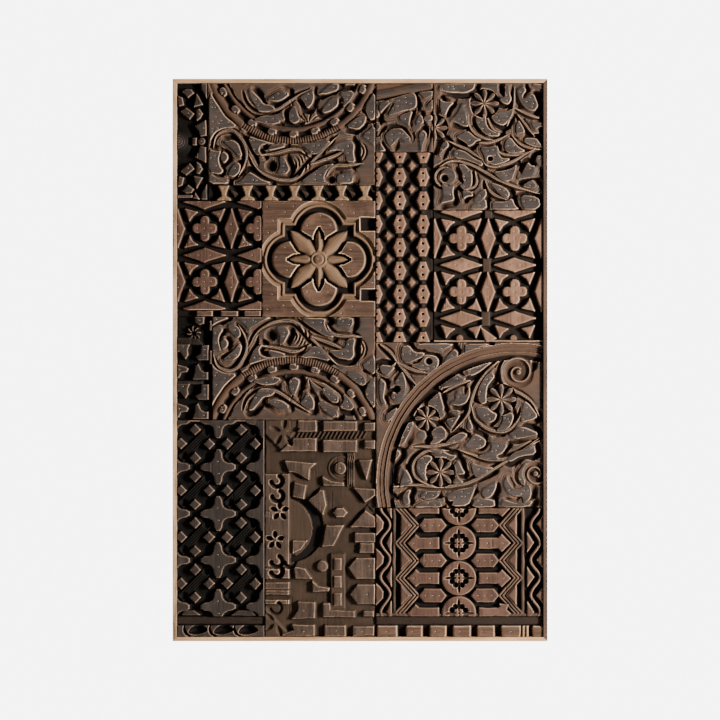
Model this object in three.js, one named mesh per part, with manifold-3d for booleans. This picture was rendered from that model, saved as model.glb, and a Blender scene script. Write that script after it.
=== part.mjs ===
import * as THREE from 'three';
import { mergeVertices } from 'three/addons/utils/BufferGeometryUtils.js';
import Module from 'manifold-3d';

const wasm = await Module();
wasm.setup();

// A wall panel: old carved mould blocks fitted edge to edge on a board, inside a mitred frame.
// Millimetres. X runs right and Z up across the panel, the front looks along -Y, and the back is y = 0.

// Driving dimensions of the whole panel
const panelWidth = 800;
const panelHeight = 1200;
const frameDepth = 44;
const frameStrip = 8.7;
const boardDepth = 12;
const blockFace = 40;
const clearance = 0.3;
const halfJoint = 0.4;

// Depths below the block faces
const deepGround = 14;
const midGround = 9;
const lowRelief = 4;

// Lines where the blocks meet
const left = -panelWidth / 2 + frameStrip + clearance - halfJoint;
const right = -left;
const top = panelHeight / 2 - frameStrip - clearance + halfJoint;
const bottom = -top;
const bossEdge = -319;
const trellisEdge = -210;
const middleEdge = 33;
const honeyEdge = 156;
const pegEdge = -203.5;

// Turns a closed three.js geometry into a solid that can be joined and cut.
function solid(geometry) {
  const bare = new THREE.BufferGeometry();
  bare.setAttribute('position', geometry.attributes.position.clone());
  if (geometry.index) bare.setIndex(geometry.index.clone());
  const merged = mergeVertices(bare, 1e-4);
  const place = merged.attributes.position;
  const corner = [new THREE.Vector3(), new THREE.Vector3(), new THREE.Vector3()];
  const triangles = [];
  let volume = 0;
  for (let i = 0; i < merged.index.count; i += 3) {
    const [a, b, c] = [0, 1, 2].map((k) => merged.index.getX(i + k));
    if (a === b || b === c || c === a) continue;
    triangles.push([a, b, c]);
    [a, b, c].forEach((vertex, k) => corner[k].fromBufferAttribute(place, vertex));
    volume += corner[0].dot(corner[1].cross(corner[2]));
  }
  const outward = triangles.map(([a, b, c]) => (volume > 0 ? [a, b, c] : [a, c, b]));
  return new wasm.Manifold(new wasm.Mesh({
    numProp: 3,
    vertProperties: place.array,
    triVerts: new Uint32Array(outward.flat()),
  }));
}

// A straight-sided solid on an outline of [x, z] points, between two depths below the block face.
function prism(outline, front, back) {
  const shape = new THREE.Shape(outline.map(([x, z]) => new THREE.Vector2(x, z)));
  const geometry = new THREE.ExtrudeGeometry(shape, { depth: back - front, bevelEnabled: false });
  geometry.rotateX(Math.PI / 2);
  geometry.translate(0, back - blockFace, 0);
  return solid(geometry);
}

function rectangle(x0, x1, z0, z1) {
  return [[x0, z0], [x1, z0], [x1, z1], [x0, z1]];
}

// A round or many-sided solid standing out of the panel, with its own radius at each depth.
function drum(x, z, frontRadius, backRadius, front, back, sides, spin = 0) {
  const geometry = new THREE.CylinderGeometry(backRadius, frontRadius, back - front, sides);
  geometry.rotateY(spin);
  geometry.translate(x, (front + back) / 2 - blockFace, z);
  return solid(geometry);
}

// A spindle of four sides bent along a path: sunk in the face it is a gouge cut, and raised from the
// ground it is a rib. Level is the depth of its widest line.
function spindle(path, rings, halfWidth, level, front, back, taper) {
  const profile = [];
  for (let i = 0; i <= rings + 1; i += 1) {
    const t = i / (rings + 1);
    profile.push(new THREE.Vector2(i === 0 || i === rings + 1 ? 0 : taper(t), t));
  }
  const geometry = new THREE.LatheGeometry(profile, 4);
  const place = geometry.attributes.position;
  const step = 0.01;
  for (let i = 0; i < place.count; i += 1) {
    const t = place.getY(i);
    const across = place.getZ(i) * halfWidth;
    const into = place.getX(i);
    const [x, z] = path(t);
    const [x0, z0] = path(Math.max(t - step, 0));
    const [x1, z1] = path(Math.min(t + step, 1));
    const length = Math.hypot(x1 - x0, z1 - z0);
    const depth = level + into * (into > 0 ? back : front);
    place.setXYZ(i, x + across * (z1 - z0) / length, depth - blockFace, z - across * (x1 - x0) / length);
  }
  return solid(geometry);
}

const leafTaper = (t) => Math.sin(Math.PI * t) ** 0.7;
const evenTaper = () => 1;

// A path from one point to another that bows to the left of its way by a share of its length.
function bow(x0, z0, x1, z1, bend) {
  return (t) => {
    const side = 4 * t * (1 - t) * bend;
    return [x0 + (x1 - x0) * t - (z1 - z0) * side, z0 + (z1 - z0) * t + (x1 - x0) * side];
  };
}

// A path round a centre, from one angle on by a sweep in degrees, between two radii.
function turn(x, z, r0, r1, from, sweep) {
  return (t) => {
    const angle = (from + sweep * t) * Math.PI / 180;
    const r = r0 + (r1 - r0) * t;
    return [x + r * Math.cos(angle), z + r * Math.sin(angle)];
  };
}

const proud = 0.5;

// A leaf-shaped gouge cut
function leaf(x0, z0, x1, z1, bend, width, depth = midGround, rings = 1) {
  return spindle(bow(x0, z0, x1, z1, bend), rings, width * 0.6, -proud, proud, depth + proud, leafTaper);
}

// A groove round a centre, of one width or narrowing as it curls in
function groove(x, z, r0, r1, from, sweep, width, depth = midGround, rings = 6) {
  const taper = r0 === r1 ? evenTaper : (t) => Math.min(1, 0.5 + 0.8 * (1 - t));
  return spindle(turn(x, z, r0, r1, from, sweep), rings, width / 2, -proud, proud, depth + proud, taper);
}

// A round scoop, deepest in the middle
function pit(x, z, radius, depth = deepGround) {
  return drum(x, z, radius, 0, -proud, depth, 5);
}

// A flower of scooped petals round a centre
function flower(x, z, radius, petals, width, depth, turned = 0) {
  const cuts = [];
  for (let i = 0; i < petals; i += 1) {
    const angle = (turned + i * 360 / petals) * Math.PI / 180;
    const [c, s] = [Math.cos(angle), Math.sin(angle)];
    const inner = radius * 0.22;
    cuts.push(leaf(x + c * inner, z + s * inner, x + c * radius, z + s * radius, 0, width, depth, 1));
  }
  return cuts;
}

const join = (solids) => solids.reduce((all, next) => all.add(next));

const mirrorZ = (outlines, z) => outlines.map((outline) => outline.map(([x, y]) => [x, 2 * z - y]));
const mirrorX = (outlines, x) => outlines.map((outline) => outline.map(([a, z]) => [2 * x - a, z]));
const shift = (outlines, dx, dz) => outlines.map((outline) => outline.map(([x, z]) => [x + dx, z + dz]));

// An outline that follows a middle line at a half width on both sides
function band(points, halfWidth) {
  const sides = [[], []];
  points.forEach(([x, z], i) => {
    const [x0, z0] = points[Math.max(i - 1, 0)];
    const [x1, z1] = points[Math.min(i + 1, points.length - 1)];
    const length = Math.hypot(x1 - x0, z1 - z0);
    const [nx, nz] = [(z1 - z0) / length * halfWidth, -(x1 - x0) / length * halfWidth];
    sides[0].push([x + nx, z + nz]);
    sides[1].unshift([x - nx, z - nz]);
  });
  return sides.flat();
}

const panel = new THREE.Group();

function addPiece(name, shape, colour, roughness = 0.75) {
  const mesh = shape.getMesh();
  const geometry = new THREE.BufferGeometry();
  geometry.setAttribute('position', new THREE.BufferAttribute(mesh.vertProperties, 3));
  geometry.setIndex(new THREE.BufferAttribute(mesh.triVerts, 1));
  const material = new THREE.MeshStandardMaterial({ color: colour, roughness, metalness: 0 });
  const piece = new THREE.Mesh(geometry, material);
  piece.name = name;
  panel.add(piece);
}

// A carved block: its sides, the depth of its ground, what stands on the ground up to the face or to
// a depth of its own, and what is cut away.
function block(name, sides, colour, { ground = 0, islands = [], steps = [], cuts = [] }) {
  const [x0, x1, z0, z1] = sides;
  const plan = rectangle(x0 + halfJoint, x1 - halfJoint, z0 + halfJoint, z1 - halfJoint);
  const back = blockFace - boardDepth - clearance;
  let shape = prism(plan, ground, back);
  const standing = islands.map((outline) => prism(outline, 0, ground + 1));
  steps.forEach((step) => standing.push(step));
  if (standing.length) shape = shape.add(join(standing));
  if (cuts.length) shape = shape.subtract(join(cuts));
  addPiece(name, shape.intersect(prism(plan, 0, back)), colour);
}

// Wood colours of the blocks, from the pale pink-grey of the rubbed faces to the dark old ones
const roseWood = 0x8a6d5d;
const greyWood = 0x6b5e57;
const brownWood = 0x6a5241;
const darkWood = 0x3b2f28;
const rawWood = 0xc9a57d;
const boardWood = 0x4a3a2e;

// Backboard, a flat sheet inside the frame
const boardHalf = [panelWidth / 2 - frameStrip - clearance, panelHeight / 2 - frameStrip - clearance];
const boardPlan = rectangle(-boardHalf[0], boardHalf[0], -boardHalf[1], boardHalf[1]);
addPiece('backboard', prism(boardPlan, blockFace - boardDepth, blockFace), boardWood);

// Frame of four strips, mitred at the corners, with a clearance of half a millimetre in each mitre
function frameStripPlan(length, across) {
  const slack = clearance * 0.75;
  const half = length / 2;
  return [
    [-half + slack, across],
    [half - slack, across],
    [half - frameStrip - slack, across - frameStrip],
    [-half + frameStrip + slack, across - frameStrip],
  ];
}

const frameFront = blockFace - frameDepth;
const upright = (outline, sign) => outline.map(([a, b]) => [sign * b, a]);
const acrossPlan = frameStripPlan(panelWidth, panelHeight / 2);
const uprightPlan = frameStripPlan(panelHeight, panelWidth / 2);
addPiece('frame_top', prism(acrossPlan, frameFront, blockFace), rawWood);
addPiece('frame_bottom', prism(acrossPlan.map(([x, z]) => [x, -z]), frameFront, blockFace), rawWood);
addPiece('frame_left', prism(upright(uprightPlan, -1), frameFront, blockFace), rawWood);
addPiece('frame_right', prism(upright(uprightPlan, 1), frameFront, blockFace), rawWood);

// Trellis: overlapping circles leave lens-shaped islands, with a quatrefoil in each circle
const trellisPitch = 114;
const foilReach = 25.5;
const foilHalf = 9.5;

function quatrefoil(x, z) {
  const lobe = [[foilReach - 8, -foilHalf], [foilReach, 0], [foilReach - 8, foilHalf], [foilHalf, foilHalf]];
  const outline = [];
  for (const [c, s] of [[1, 0], [0, 1], [-1, 0], [0, -1]]) {
    lobe.forEach(([a, b]) => outline.push([x + a * c - b * s, z + a * s + b * c]));
  }
  return outline;
}

function lozenge(x, z, halfLength, halfWidth, isUpright) {
  const [a, b] = isUpright ? [halfWidth, halfLength] : [halfLength, halfWidth];
  return [[x - a, z], [x, z - b], [x + a, z], [x, z + b]];
}

function spandrels(x, z) {
  const corner = [[42, 41], [14, 34.5], [32, 15]];
  const signs = [[1, 1], [-1, 1], [-1, -1], [1, -1]];
  return signs.map(([sx, sz]) => corner.map(([a, b]) => [x + a * sx, z + b * sz]));
}

function trellis(firstX, firstZ, columns, rows) {
  const islands = [];
  for (let i = 0; i < columns; i += 1) {
    for (let j = 0; j < rows; j += 1) {
      const [x, z] = [firstX + i * trellisPitch, firstZ - j * trellisPitch];
      islands.push(quatrefoil(x, z), ...spandrels(x, z));
      islands.push(lozenge(x - trellisPitch / 2, z, 41, 14.5, true));
      islands.push(lozenge(x, z + trellisPitch / 2, 43.5, 16.5, false));
    }
  }
  for (let i = 0; i < columns; i += 1) {
    islands.push(lozenge(firstX + i * trellisPitch, firstZ - (rows - 0.5) * trellisPitch, 43.5, 16.5, false));
  }
  return islands;
}

// The left block ends in a low rail of flat tablets
const tabletRail = [[-348, -312], [-298, -262], [-246, -212]];
const tablets = tabletRail.map(([x0, x1]) => rectangle(x0, x1, 92, 106));
block('trellis_block_left', [left, trellisEdge, 93, 340], roseWood, {
  ground: deepGround,
  islands: [...trellis(-332, 281, 2, 2), ...tablets, rectangle(left, -350, 92, 96)],
  cuts: [prism(rectangle(left - 5, trellisEdge + 5, 106, 107.5), -proud, lowRelief)],
});

const lowerTrellisRow = 32;
block('trellis_block_right', [honeyEdge, right, 38, 320], roseWood, {
  ground: deepGround,
  islands: [
    ...trellis(216, 260, 2, 2),
    lozenge(387.5, 260, 41, 14.5, true),
    lozenge(387.5, 146, 41, 14.5, true),
    ...spandrels(216, lowerTrellisRow).slice(0, 2),
    ...spandrels(330, lowerTrellisRow).slice(0, 2),
    [[258, 70], [290, 46], [270, 36]],
  ],
  steps: [
    prism(rectangle(266, 282, 303, 321), 2, deepGround + 1),
    prism(rectangle(262, 279, 188, 217), 2, deepGround + 1),
    prism(rectangle(259, 277, 73, 103), 2, deepGround + 1),
    drum(212, 46, 8, 10, lowRelief, deepGround + 1, 6),
    drum(327, 46, 8, 10, lowRelief, deepGround + 1, 6),
    prism(rectangle(honeyEdge, right, 37, 42), 2, deepGround + 1),
  ],
});

// Honeycomb: rows of six-sided islands with small blunt lozenges between them
const honeyPitch = 50;
const honeyTop = 390.5;
const honeyRows = 7;

function honeycomb() {
  const islands = [];
  for (const x of [34, 84, 134]) {
    for (let row = -1; row <= honeyRows; row += 1) {
      const z = honeyTop - row * honeyPitch;
      islands.push([[x - 7, z - 20], [x + 7, z - 20], [x + 14.5, z], [x + 7, z + 20], [x - 7, z + 20],
        [x - 14.5, z]]);
    }
  }
  for (const x of [59, 109]) {
    for (let row = 0; row <= honeyRows; row += 1) {
      const z = honeyTop + honeyPitch / 2 - row * honeyPitch;
      islands.push([[x - 9, z], [x - 2, z - 11], [x + 10, z], [x - 2, z + 11]]);
    }
  }
  return islands;
}

block('honeycomb_block', [middleEdge, honeyEdge, 38, 444], roseWood, {
  ground: deepGround,
  islands: honeycomb(),
});

// Hourglass rail: a row of waisted islands with deep scoops between them
const hourglassPitch = 50.3;
const hourglass = [[-17, 340], [15, 340], [2.5, 350], [12, 373], [-13, 373], [-5, 350]];
const hourglasses = Array.from({ length: 7 }, (_, i) => shift([hourglass], -291 + i * hourglassPitch, 0)[0]);
block('hourglass_rail', [bossEdge - 7, middleEdge, 340, 373], rawWood, {
  ground: deepGround,
  islands: hourglasses,
});

// Boss block: a half-round boss at the edge and small flat islands, alike above and below it
const bossHeight = 467;
const bossHalf = [
  [[-352, 500], [-345, 490], [-341, 478], [-329, 480], [-329, 512]],
  [[-382, 531], [-364, 514], [-354, 526], [-371, 539]],
  [[-349, 511], [-341, 516], [-336, 526], [-343, 536], [-349, 535]],
  [[-378, 573], [-367, 560], [-355, 570], [-360, 577], [-372, 578]],
  [[-355, 541], [-336, 545], [-349, 568]],
  [[-386, 542], [-376, 545], [-380, 560], [-388, 563]],
  [[-338, 578], [-327, 558], [-324, 591], [-338, 591]],
];
block('boss_block', [left, bossEdge - 7, 340, top], greyWood, {
  ground: deepGround,
  islands: [
    ...bossHalf,
    ...mirrorZ(bossHalf, bossHeight).map((outline) => outline.reverse()),
    rectangle(-357, -349, bossHeight - 7.5, bossHeight + 7.5),
    rectangle(left, -358, 347, 352),
    [[-356, 346], [-343, 343], [-352, 357]],
  ],
  steps: [
    drum(-388, bossHeight, 12, 31, 1, deepGround + 1, 12),
    drum(-338, bossHeight, 7.5, 8.5, 2, deepGround + 1, 8),
  ],
});

// Flower block: a four-lobed sunk moulding with flat discs in its lobes and a raised flower across it
const flowerCentre = [-88, 215];
const lobeDistance = 60;
const lobeRadius = 65;
const squareHalf = 87;
const lobes = [[1, 0], [0, 1], [-1, 0], [0, -1]];

function fourLobed(inset, nextInset, front, back) {
  const [x, z] = flowerCentre;
  const parts = lobes.map(([a, b]) => {
    const [r0, r1] = [lobeRadius - inset, lobeRadius - nextInset];
    return drum(x + a * lobeDistance, z + b * lobeDistance, r0, r1, front, back, 12, Math.PI / 12);
  });
  const [h0, h1] = [squareHalf - inset, squareHalf - nextInset].map((half) => half * Math.SQRT2);
  parts.push(drum(x, z, h0, h1, front, back, 4, Math.PI / 4));
  return join(parts);
}

const diagonals = [45, 135, 225, 315];

function petalPlan(angle, length, halfWidth) {
  const [x, z] = flowerCentre;
  const [c, s] = [Math.cos(angle * Math.PI / 180), Math.sin(angle * Math.PI / 180)];
  const side = [[0.15, 0.5], [0.45, 1], [0.75, 0.75], [1, 0], [0.75, -0.75], [0.45, -1], [0.15, -0.5]];
  return side.map(([t, w]) => {
    const [a, b] = [t * length, w * halfWidth];
    return [x + a * c - b * s, z + a * s + b * c];
  }).reverse();
}

function flowerDiscs() {
  const [x, z] = flowerCentre;
  const discs = lobes.map(([a, b]) => drum(x + a * 61, z + b * 61, 37.5, 37.5, 0, deepGround + 1, 12));
  const petals = diagonals.map((angle) => prism(petalPlan(angle, 89, 19), -proud, deepGround));
  const sepals = [0, 90, 180, 270].map((angle) => prism(petalPlan(angle, 67, 12), -proud, deepGround));
  return join(discs).subtract(join([...petals, ...sepals]));
}

function raisedFlower() {
  const [x, z] = flowerCentre;
  const parts = diagonals.map((angle) => {
    const [c, s] = [Math.cos(angle * Math.PI / 180), Math.sin(angle * Math.PI / 180)];
    return spindle(bow(x, z, x + 86 * c, z + 86 * s, 0), 2, 18, deepGround + 0.6, 8, 2, leafTaper);
  });
  lobes.forEach(([a, b]) => {
    parts.push(spindle(bow(x, z, x + 64 * a, z + 64 * b, 0), 2, 10, deepGround + 0.6, 10, 2, leafTaper));
  });
  parts.push(drum(x, z, 15, 20, 3, deepGround + 1, 12));
  return join(parts).add(drum(x, z, 9, 9, 0.5, deepGround + 1, 10));
}

const flowerSlab = prism(rectangle(trellisEdge, middleEdge, 92, 340), 0, deepGround)
  .subtract(fourLobed(0, 11, -proud, lowRelief))
  .subtract(fourLobed(11, 24, lowRelief - 0.5, deepGround));
block('flower_block', [trellisEdge, middleEdge, 92, 340], brownWood, {
  ground: deepGround,
  steps: [flowerSlab, flowerDiscs(), raisedFlower()],
  cuts: [
    prism(rectangle(-1, middleEdge + 2, 275, 305), -proud, deepGround),
    prism(rectangle(-1, middleEdge + 2, 125, 152), -proud, deepGround),
  ],
});

// Rosette block: four-sided islands with round bites out of them, in two bays under a moulding
const rosetteBay = [
  [[left, 17], [-384, 18], [-379, 12], [-373, 3], [-367, 12], [-368, 22], [-364, 33], [left, 33]],
  [[-350, 7], [-345, 0], [-324, 0], [-324, 31], [-338, 31], [-340, 14]],
  [[left, -38], [-387, -38], [-382, -27], [-370, -25], [-367, -19], [-372, -15], [left, -8]],
  [[-357, -41], [-325, -41], [-325, -27], [-333, -27], [-340, -22], [-346, -9], [-352, -12], [-352, -26]],
];
const bayHeight = 84;
block('rosette_block', [left, -316, -128, 93], greyWood, {
  ground: deepGround,
  islands: [
    ...rosetteBay,
    ...shift(rosetteBay, 0, -bayHeight),
    [[-350, 80], [-342, 75], [-333, 78], [-333, 92.5], [-352, 92.5]],
    rectangle(-320, -316, 64, 84),
    rectangle(-320, -316, -8, 20),
  ],
  steps: [
    prism([[left, 33], [-336, 33], [-345, 46], [left, 48]], lowRelief, deepGround + 1),
    spindle(turn(-355, 57, 10, 10, 90, -350), 5, 7, deepGround, 12, 1, evenTaper),
    prism(rectangle(left, -336, -51, -45), lowRelief, deepGround + 1),
  ],
});

// Peg block: square pegs turned on their corners in fours, with flat crosses between the groups
const pegPitch = 99.5;
const pegReach = 30;
const pegHalf = 11.5;

function pegs(x, z) {
  const spots = [[pegReach, 0], [0, pegReach], [-pegReach, 0], [0, -pegReach]];
  return spots.map(([a, b]) => {
    const [px, pz] = [x + a, z + b];
    return [[px + pegHalf, pz], [px, pz + pegHalf], [px - pegHalf, pz], [px, pz - pegHalf]];
  });
}

function flatCross(x, z) {
  const outline = [];
  const arm = [[38, 0], [9, 9]];
  for (const [c, s] of [[1, 0], [0, 1], [-1, 0], [0, -1]]) {
    arm.forEach(([a, b]) => outline.push([x + a * c - b * s, z + a * s + b * c]));
  }
  return outline;
}

const pegIslands = [];
const pegBars = [];
for (let row = 0; row < 4; row += 1) {
  const z = -179 - row * pegPitch;
  for (const x of [-352, -254]) {
    pegIslands.push(...pegs(x, z));
    const bar = [[x - 38, z - 24], [x - 26, z - 36], [x + 30, z + 20], [x + 18, z + 32]];
    pegBars.push(prism(bar, midGround, deepGround + 1));
  }
}
for (let row = -0.5; row < 4; row += 1) {
  for (const x of [-401, -303, -206]) {
    pegIslands.push(flatCross(x, -179 - row * pegPitch));
  }
}
block('peg_block', [left, pegEdge, -548, -128], darkWood, {
  ground: deepGround,
  islands: [...pegIslands, rectangle(left, pegEdge, -131, -128), rectangle(-207, pegEdge, -548, -128)],
  steps: [
    ...pegBars,
    prism([[-380, -545], [-342, -545], [-355, -535], [-376, -535]], 3, deepGround + 1),
    prism([[-275, -546], [-222, -546], [-232, -535], [-262, -536]], 3, deepGround + 1),
  ],
});

// Plain rails under the blocks, set lower than the faces
const plainSink = 5;
block('plain_rail_left', [left, pegEdge, -566, -548], brownWood, { ground: plainSink });
block('plain_rail_right', [middleEdge, right, -566, -548], brownWood, { ground: plainSink });

// Leaf rail and dentil rail along the bottom
const leafRailCuts = [-345, -290, -238].flatMap((x) => [
  leaf(x - 22, -582, x + 20, -578, 0.1, 20, deepGround, 2),
  leaf(x - 30, -568, x - 14, -588, -0.25, 6),
]);
block('leaf_rail', [left, pegEdge, bottom, -566], darkWood, { cuts: leafRailCuts });
const dentils = [[38, 78], [100, 132], [150, 183], [200, 235], [252, 286], [303, 342], [347, 351], [355, 359]];
block('dentil_rail', [middleEdge, right, bottom, -566], brownWood, {
  ground: midGround,
  islands: dentils.map(([x0, x1]) => rectangle(x0, x1, bottom, -566)),
});

// Zigzag block: alike left and right of its middle line, with rosettes between flat tablets
const zigzagMiddle = 211;
const zigzagRows = [-353, -428, -503];
const tabletRows = [-316, -391, -466, -541];

function zigzagHalf() {
  const islands = [];
  zigzagRows.forEach((z) => {
    islands.push([[126, z], [137, z - 13.5], [173, z - 13.5], [184, z], [173, z + 13.5], [137, z + 13.5]]);
    islands.push([[88, z - 19], [106, z], [88, z + 22]]);
  });
  tabletRows.forEach((z) => {
    islands.push([[100, z], [118, z - 16], [168, z - 11], [168, z + 11], [118, z + 16]]);
  });
  const zig = [];
  for (let i = 0; i < 7; i += 1) zig.push([i % 2 ? 117 : 84, -316 - i * 37.4]);
  return { islands, zig };
}

function wave(x, first) {
  const points = [];
  for (let i = 0; i <= 10; i += 1) {
    const z = first + 37 - i * 24.7;
    points.push([x + 10 * Math.cos((z - first) * 2 * Math.PI / 74.1), z]);
  }
  return points;
}

const half = zigzagHalf();
const waveBays = [-352, -426, -500].map((z) => [[34, z - 25], [50, z - 8], [52, z + 5], [44, z + 16], [34, z + 24]]);
const waveBacks = [-316, -390, -463, -537].map((z) => [[56, z], [67, z - 22], [67, z + 22]]);
const zigzagRosettes = tabletRows.flatMap((z) => flower(zigzagMiddle, z, 34, 4, 12, midGround));
block('zigzag_block', [middleEdge, right, -548, -316], roseWood, {
  ground: deepGround,
  islands: [
    ...half.islands,
    ...mirrorX(half.islands, zigzagMiddle).map((outline) => outline.reverse()),
    ...waveBays,
    ...waveBacks,
    ...[-390, -464, -538].map((z) => [[357, z - 20], [373, z], [357, z + 22]]),
    ...[-350, -427, -503].map((z) => [[375, z], [391, z - 20], [391, z + 20]]),
  ],
  steps: [
    prism(band(half.zig, 5), 2, deepGround + 1),
    prism(band(mirrorX([half.zig], zigzagMiddle)[0].reverse(), 5), 2, deepGround + 1),
    prism(band(wave(54, -352), 3.5), 2, deepGround + 1),
    prism(band(wave(374, -390), 3.5), 4, deepGround + 1),
    ...tabletRows.map((z) => drum(zigzagMiddle, z, 38, 38, 0, deepGround + 1, 8, Math.PI / 8)),
    prism(rectangle(70, 76, -548, -316), lowRelief, deepGround + 1),
    prism(rectangle(346, 351, -548, -316), lowRelief, deepGround + 1),
    prism(rectangle(middleEdge, right, -548, -541), 3, deepGround + 1),
  ],
  cuts: zigzagRosettes,
});

// Garland blocks: two cut from one pattern, the lower one upside down. An arch with a rope edge and a
// row of small cells, and below it scrolls and two fluted shells.
function garland(flipped) {
  const level = 468;
  const up = (z) => (flipped ? level - z : z);
  const side = flipped ? -1 : 1;
  const l = (x0, z0, x1, z1, bend, width, depth, rings) => (
    leaf(x0, up(z0), x1, up(z1), side * bend, width, depth, rings));
  const g = (x, z, r, from, sweep, width, depth, rings) => (
    groove(x, up(z), r, r, side * from, side * sweep, width, depth, rings));
  const arch = [-145, 648];
  const cuts = [
    g(...arch, 180, 196, 148, 10, 3, 7),
    g(...arch, 150, 202, 136, 5, 6, 6),
    l(-258, 488, -216, 414, 0.08, 26, deepGround, 2),
    l(-264, 484, -314, 446, 0.55, 16, midGround, 2),
    l(-312, 462, -250, 434, -0.12, 16, deepGround),
    l(-200, 410, -170, 434, 0, 24, deepGround),
    l(-214, 436, -96, 458, 0.06, 20, lowRelief),
    l(-232, 424, -110, 392, -0.3, 14, midGround, 2),
    l(-142, 378, -58, 420, -0.1, 15, deepGround, 2),
    l(-80, 440, -38, 470, 0.12, 14, deepGround),
    l(-66, 442, -28, 418, 0.2, 18, deepGround),
    l(-42, 490, 6, 520, 0.08, 12, deepGround),
    l(12, 528, -4, 480, 0.45, 13, deepGround),
    l(30, 416, -14, 376, 0, 18, deepGround),
    l(-262, 556, -150, 560, -0.33, 14, midGround, 2),
    l(-228, 566, -212, 538, 0, 18, deepGround),
    l(-206, 572, -160, 574, -0.15, 14, deepGround),
    l(-152, 556, -146, 502, -0.3, 18, deepGround),
    l(-70, 592, -150, 546, 0.1, 18, deepGround),
    l(-104, 540, -44, 568, 0.25, 13, deepGround),
    l(-36, 576, -62, 520, -0.3, 13, deepGround),
    pit(-202, up(455), 8),
    pit(-62, up(385), 10),
  ];
  for (let i = 0; i < 8; i += 1) {
    const angle = (204 + i * 17) * Math.PI / 180;
    const tip = angle + 0.12;
    const [x, z] = [arch[0] + 166 * Math.cos(angle), arch[1] + 166 * Math.sin(angle)];
    cuts.push(l(x, z, arch[0] + 166 * Math.cos(tip), arch[1] + 166 * Math.sin(tip), 0, 13, deepGround));
  }
  for (const radius of [20, 33]) cuts.push(g(-154, 414, radius, -70, 140, 6, 5, 2));
  cuts.push(g(-14, 444, 19, -70, 150, 6, 5, 2));
  return cuts;
}

block('garland_block_upper', [bossEdge - 7, middleEdge, 373, top], greyWood, { cuts: garland(false) });
block('garland_block_lower', [-316, middleEdge, -128, 92], greyWood, { cuts: garland(true) });

// Small scroll block: a curved moulding along the top and a leaf curled in a loop
block('scroll_block', [middleEdge, honeyEdge, 444, top], greyWood, {
  cuts: [
    spindle(bow(20, 560, 168, 592, 0.03), 3, 13, -proud, proud, 6, evenTaper),
    leaf(30, 547, 164, 582, 0.04, 6),
    leaf(76, 553, 34, 510, 0.05, 10),
    leaf(33, 552, 44, 522, 0.1, 8, deepGround),
    leaf(122, 542, 66, 518, -0.15, 10),
    leaf(60, 518, 110, 498, 0.12, 9),
    groove(84, 470, 38, 38, 92, 112, 13, deepGround, 3),
    leaf(84, 480, 102, 444, 0, 15, deepGround),
    leaf(88, 466, 112, 462, -0.2, 10, deepGround),
    leaf(120, 530, 112, 494, 0.1, 12, deepGround),
    leaf(112, 500, 130, 444, -0.1, 13, deepGround),
    leaf(116, 572, 125, 536, 0.2, 6),
    leaf(134, 540, 157, 562, 0.1, 14, deepGround),
    leaf(120, 494, 146, 470, 0.5, 8),
    leaf(136, 472, 143, 444, 0, 11, deepGround),
  ],
});

// Flower scroll block: a flower at the top in the bend of a long stem, with curled leaves round it
block('flower_scroll_block', [honeyEdge, right, 320, top], greyWood, {
  cuts: [
    ...flower(266, 548, 31, 6, 13, 6),
    groove(300, 535, 64, 60, 190, 82, 14, deepGround, 3),
    leaf(230, 494, 310, 464, -0.2, 12, lowRelief),
    leaf(322, 586, 378, 530, -0.25, 15, deepGround, 2),
    leaf(288, 592, 304, 562, 0, 16, deepGround),
    leaf(278, 566, 304, 540, 0.1, 18, deepGround),
    leaf(268, 524, 304, 502, -0.28, 11, deepGround),
    leaf(302, 482, 336, 518, -0.15, 15, deepGround),
    leaf(344, 514, 378, 478, 0, 12, deepGround),
    leaf(314, 474, 346, 441, 0.4, 15, deepGround, 2),
    leaf(332, 470, 392, 450, 0.05, 9),
    leaf(252, 426, 340, 424, -0.28, 12, midGround, 2),
    leaf(332, 396, 358, 428, 0.15, 13, deepGround),
    leaf(380, 440, 364, 412, 0.35, 12, deepGround),
    leaf(260, 406, 330, 377, -0.1, 11, deepGround),
    leaf(320, 368, 392, 352, 0.05, 12, lowRelief),
    leaf(188, 418, 216, 372, 0.35, 15, deepGround, 2),
    leaf(196, 432, 262, 412, 0.12, 10),
    leaf(238, 402, 244, 356, 0.25, 15, deepGround),
    leaf(163, 380, 165, 336, 0.1, 15, deepGround),
    leaf(202, 368, 214, 338, 0, 15, deepGround),
    leaf(272, 370, 304, 342, 0, 13, deepGround),
    leaf(240, 338, 206, 322, 0.2, 10, deepGround),
    leaf(322, 356, 352, 320, 0.1, 15, deepGround),
    leaf(184, 516, 218, 550, 0.1, 13, deepGround),
    leaf(162, 568, 170, 522, 0.05, 13, deepGround),
    leaf(224, 552, 244, 524, -0.3, 10, deepGround),
    leaf(160, 496, 236, 499, 0, 22, lowRelief),
    leaf(234, 462, 264, 434, 0, 14, deepGround),
    pit(278, 430, 9),
    pit(180, 388, 9),
    pit(166, 458, 10),
    pit(352, 565, 8),
    ...[560, 488, 400].map((z) => leaf(386, z + 18, 386, z - 18, 0, 22, deepGround)),
  ],
});

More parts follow.
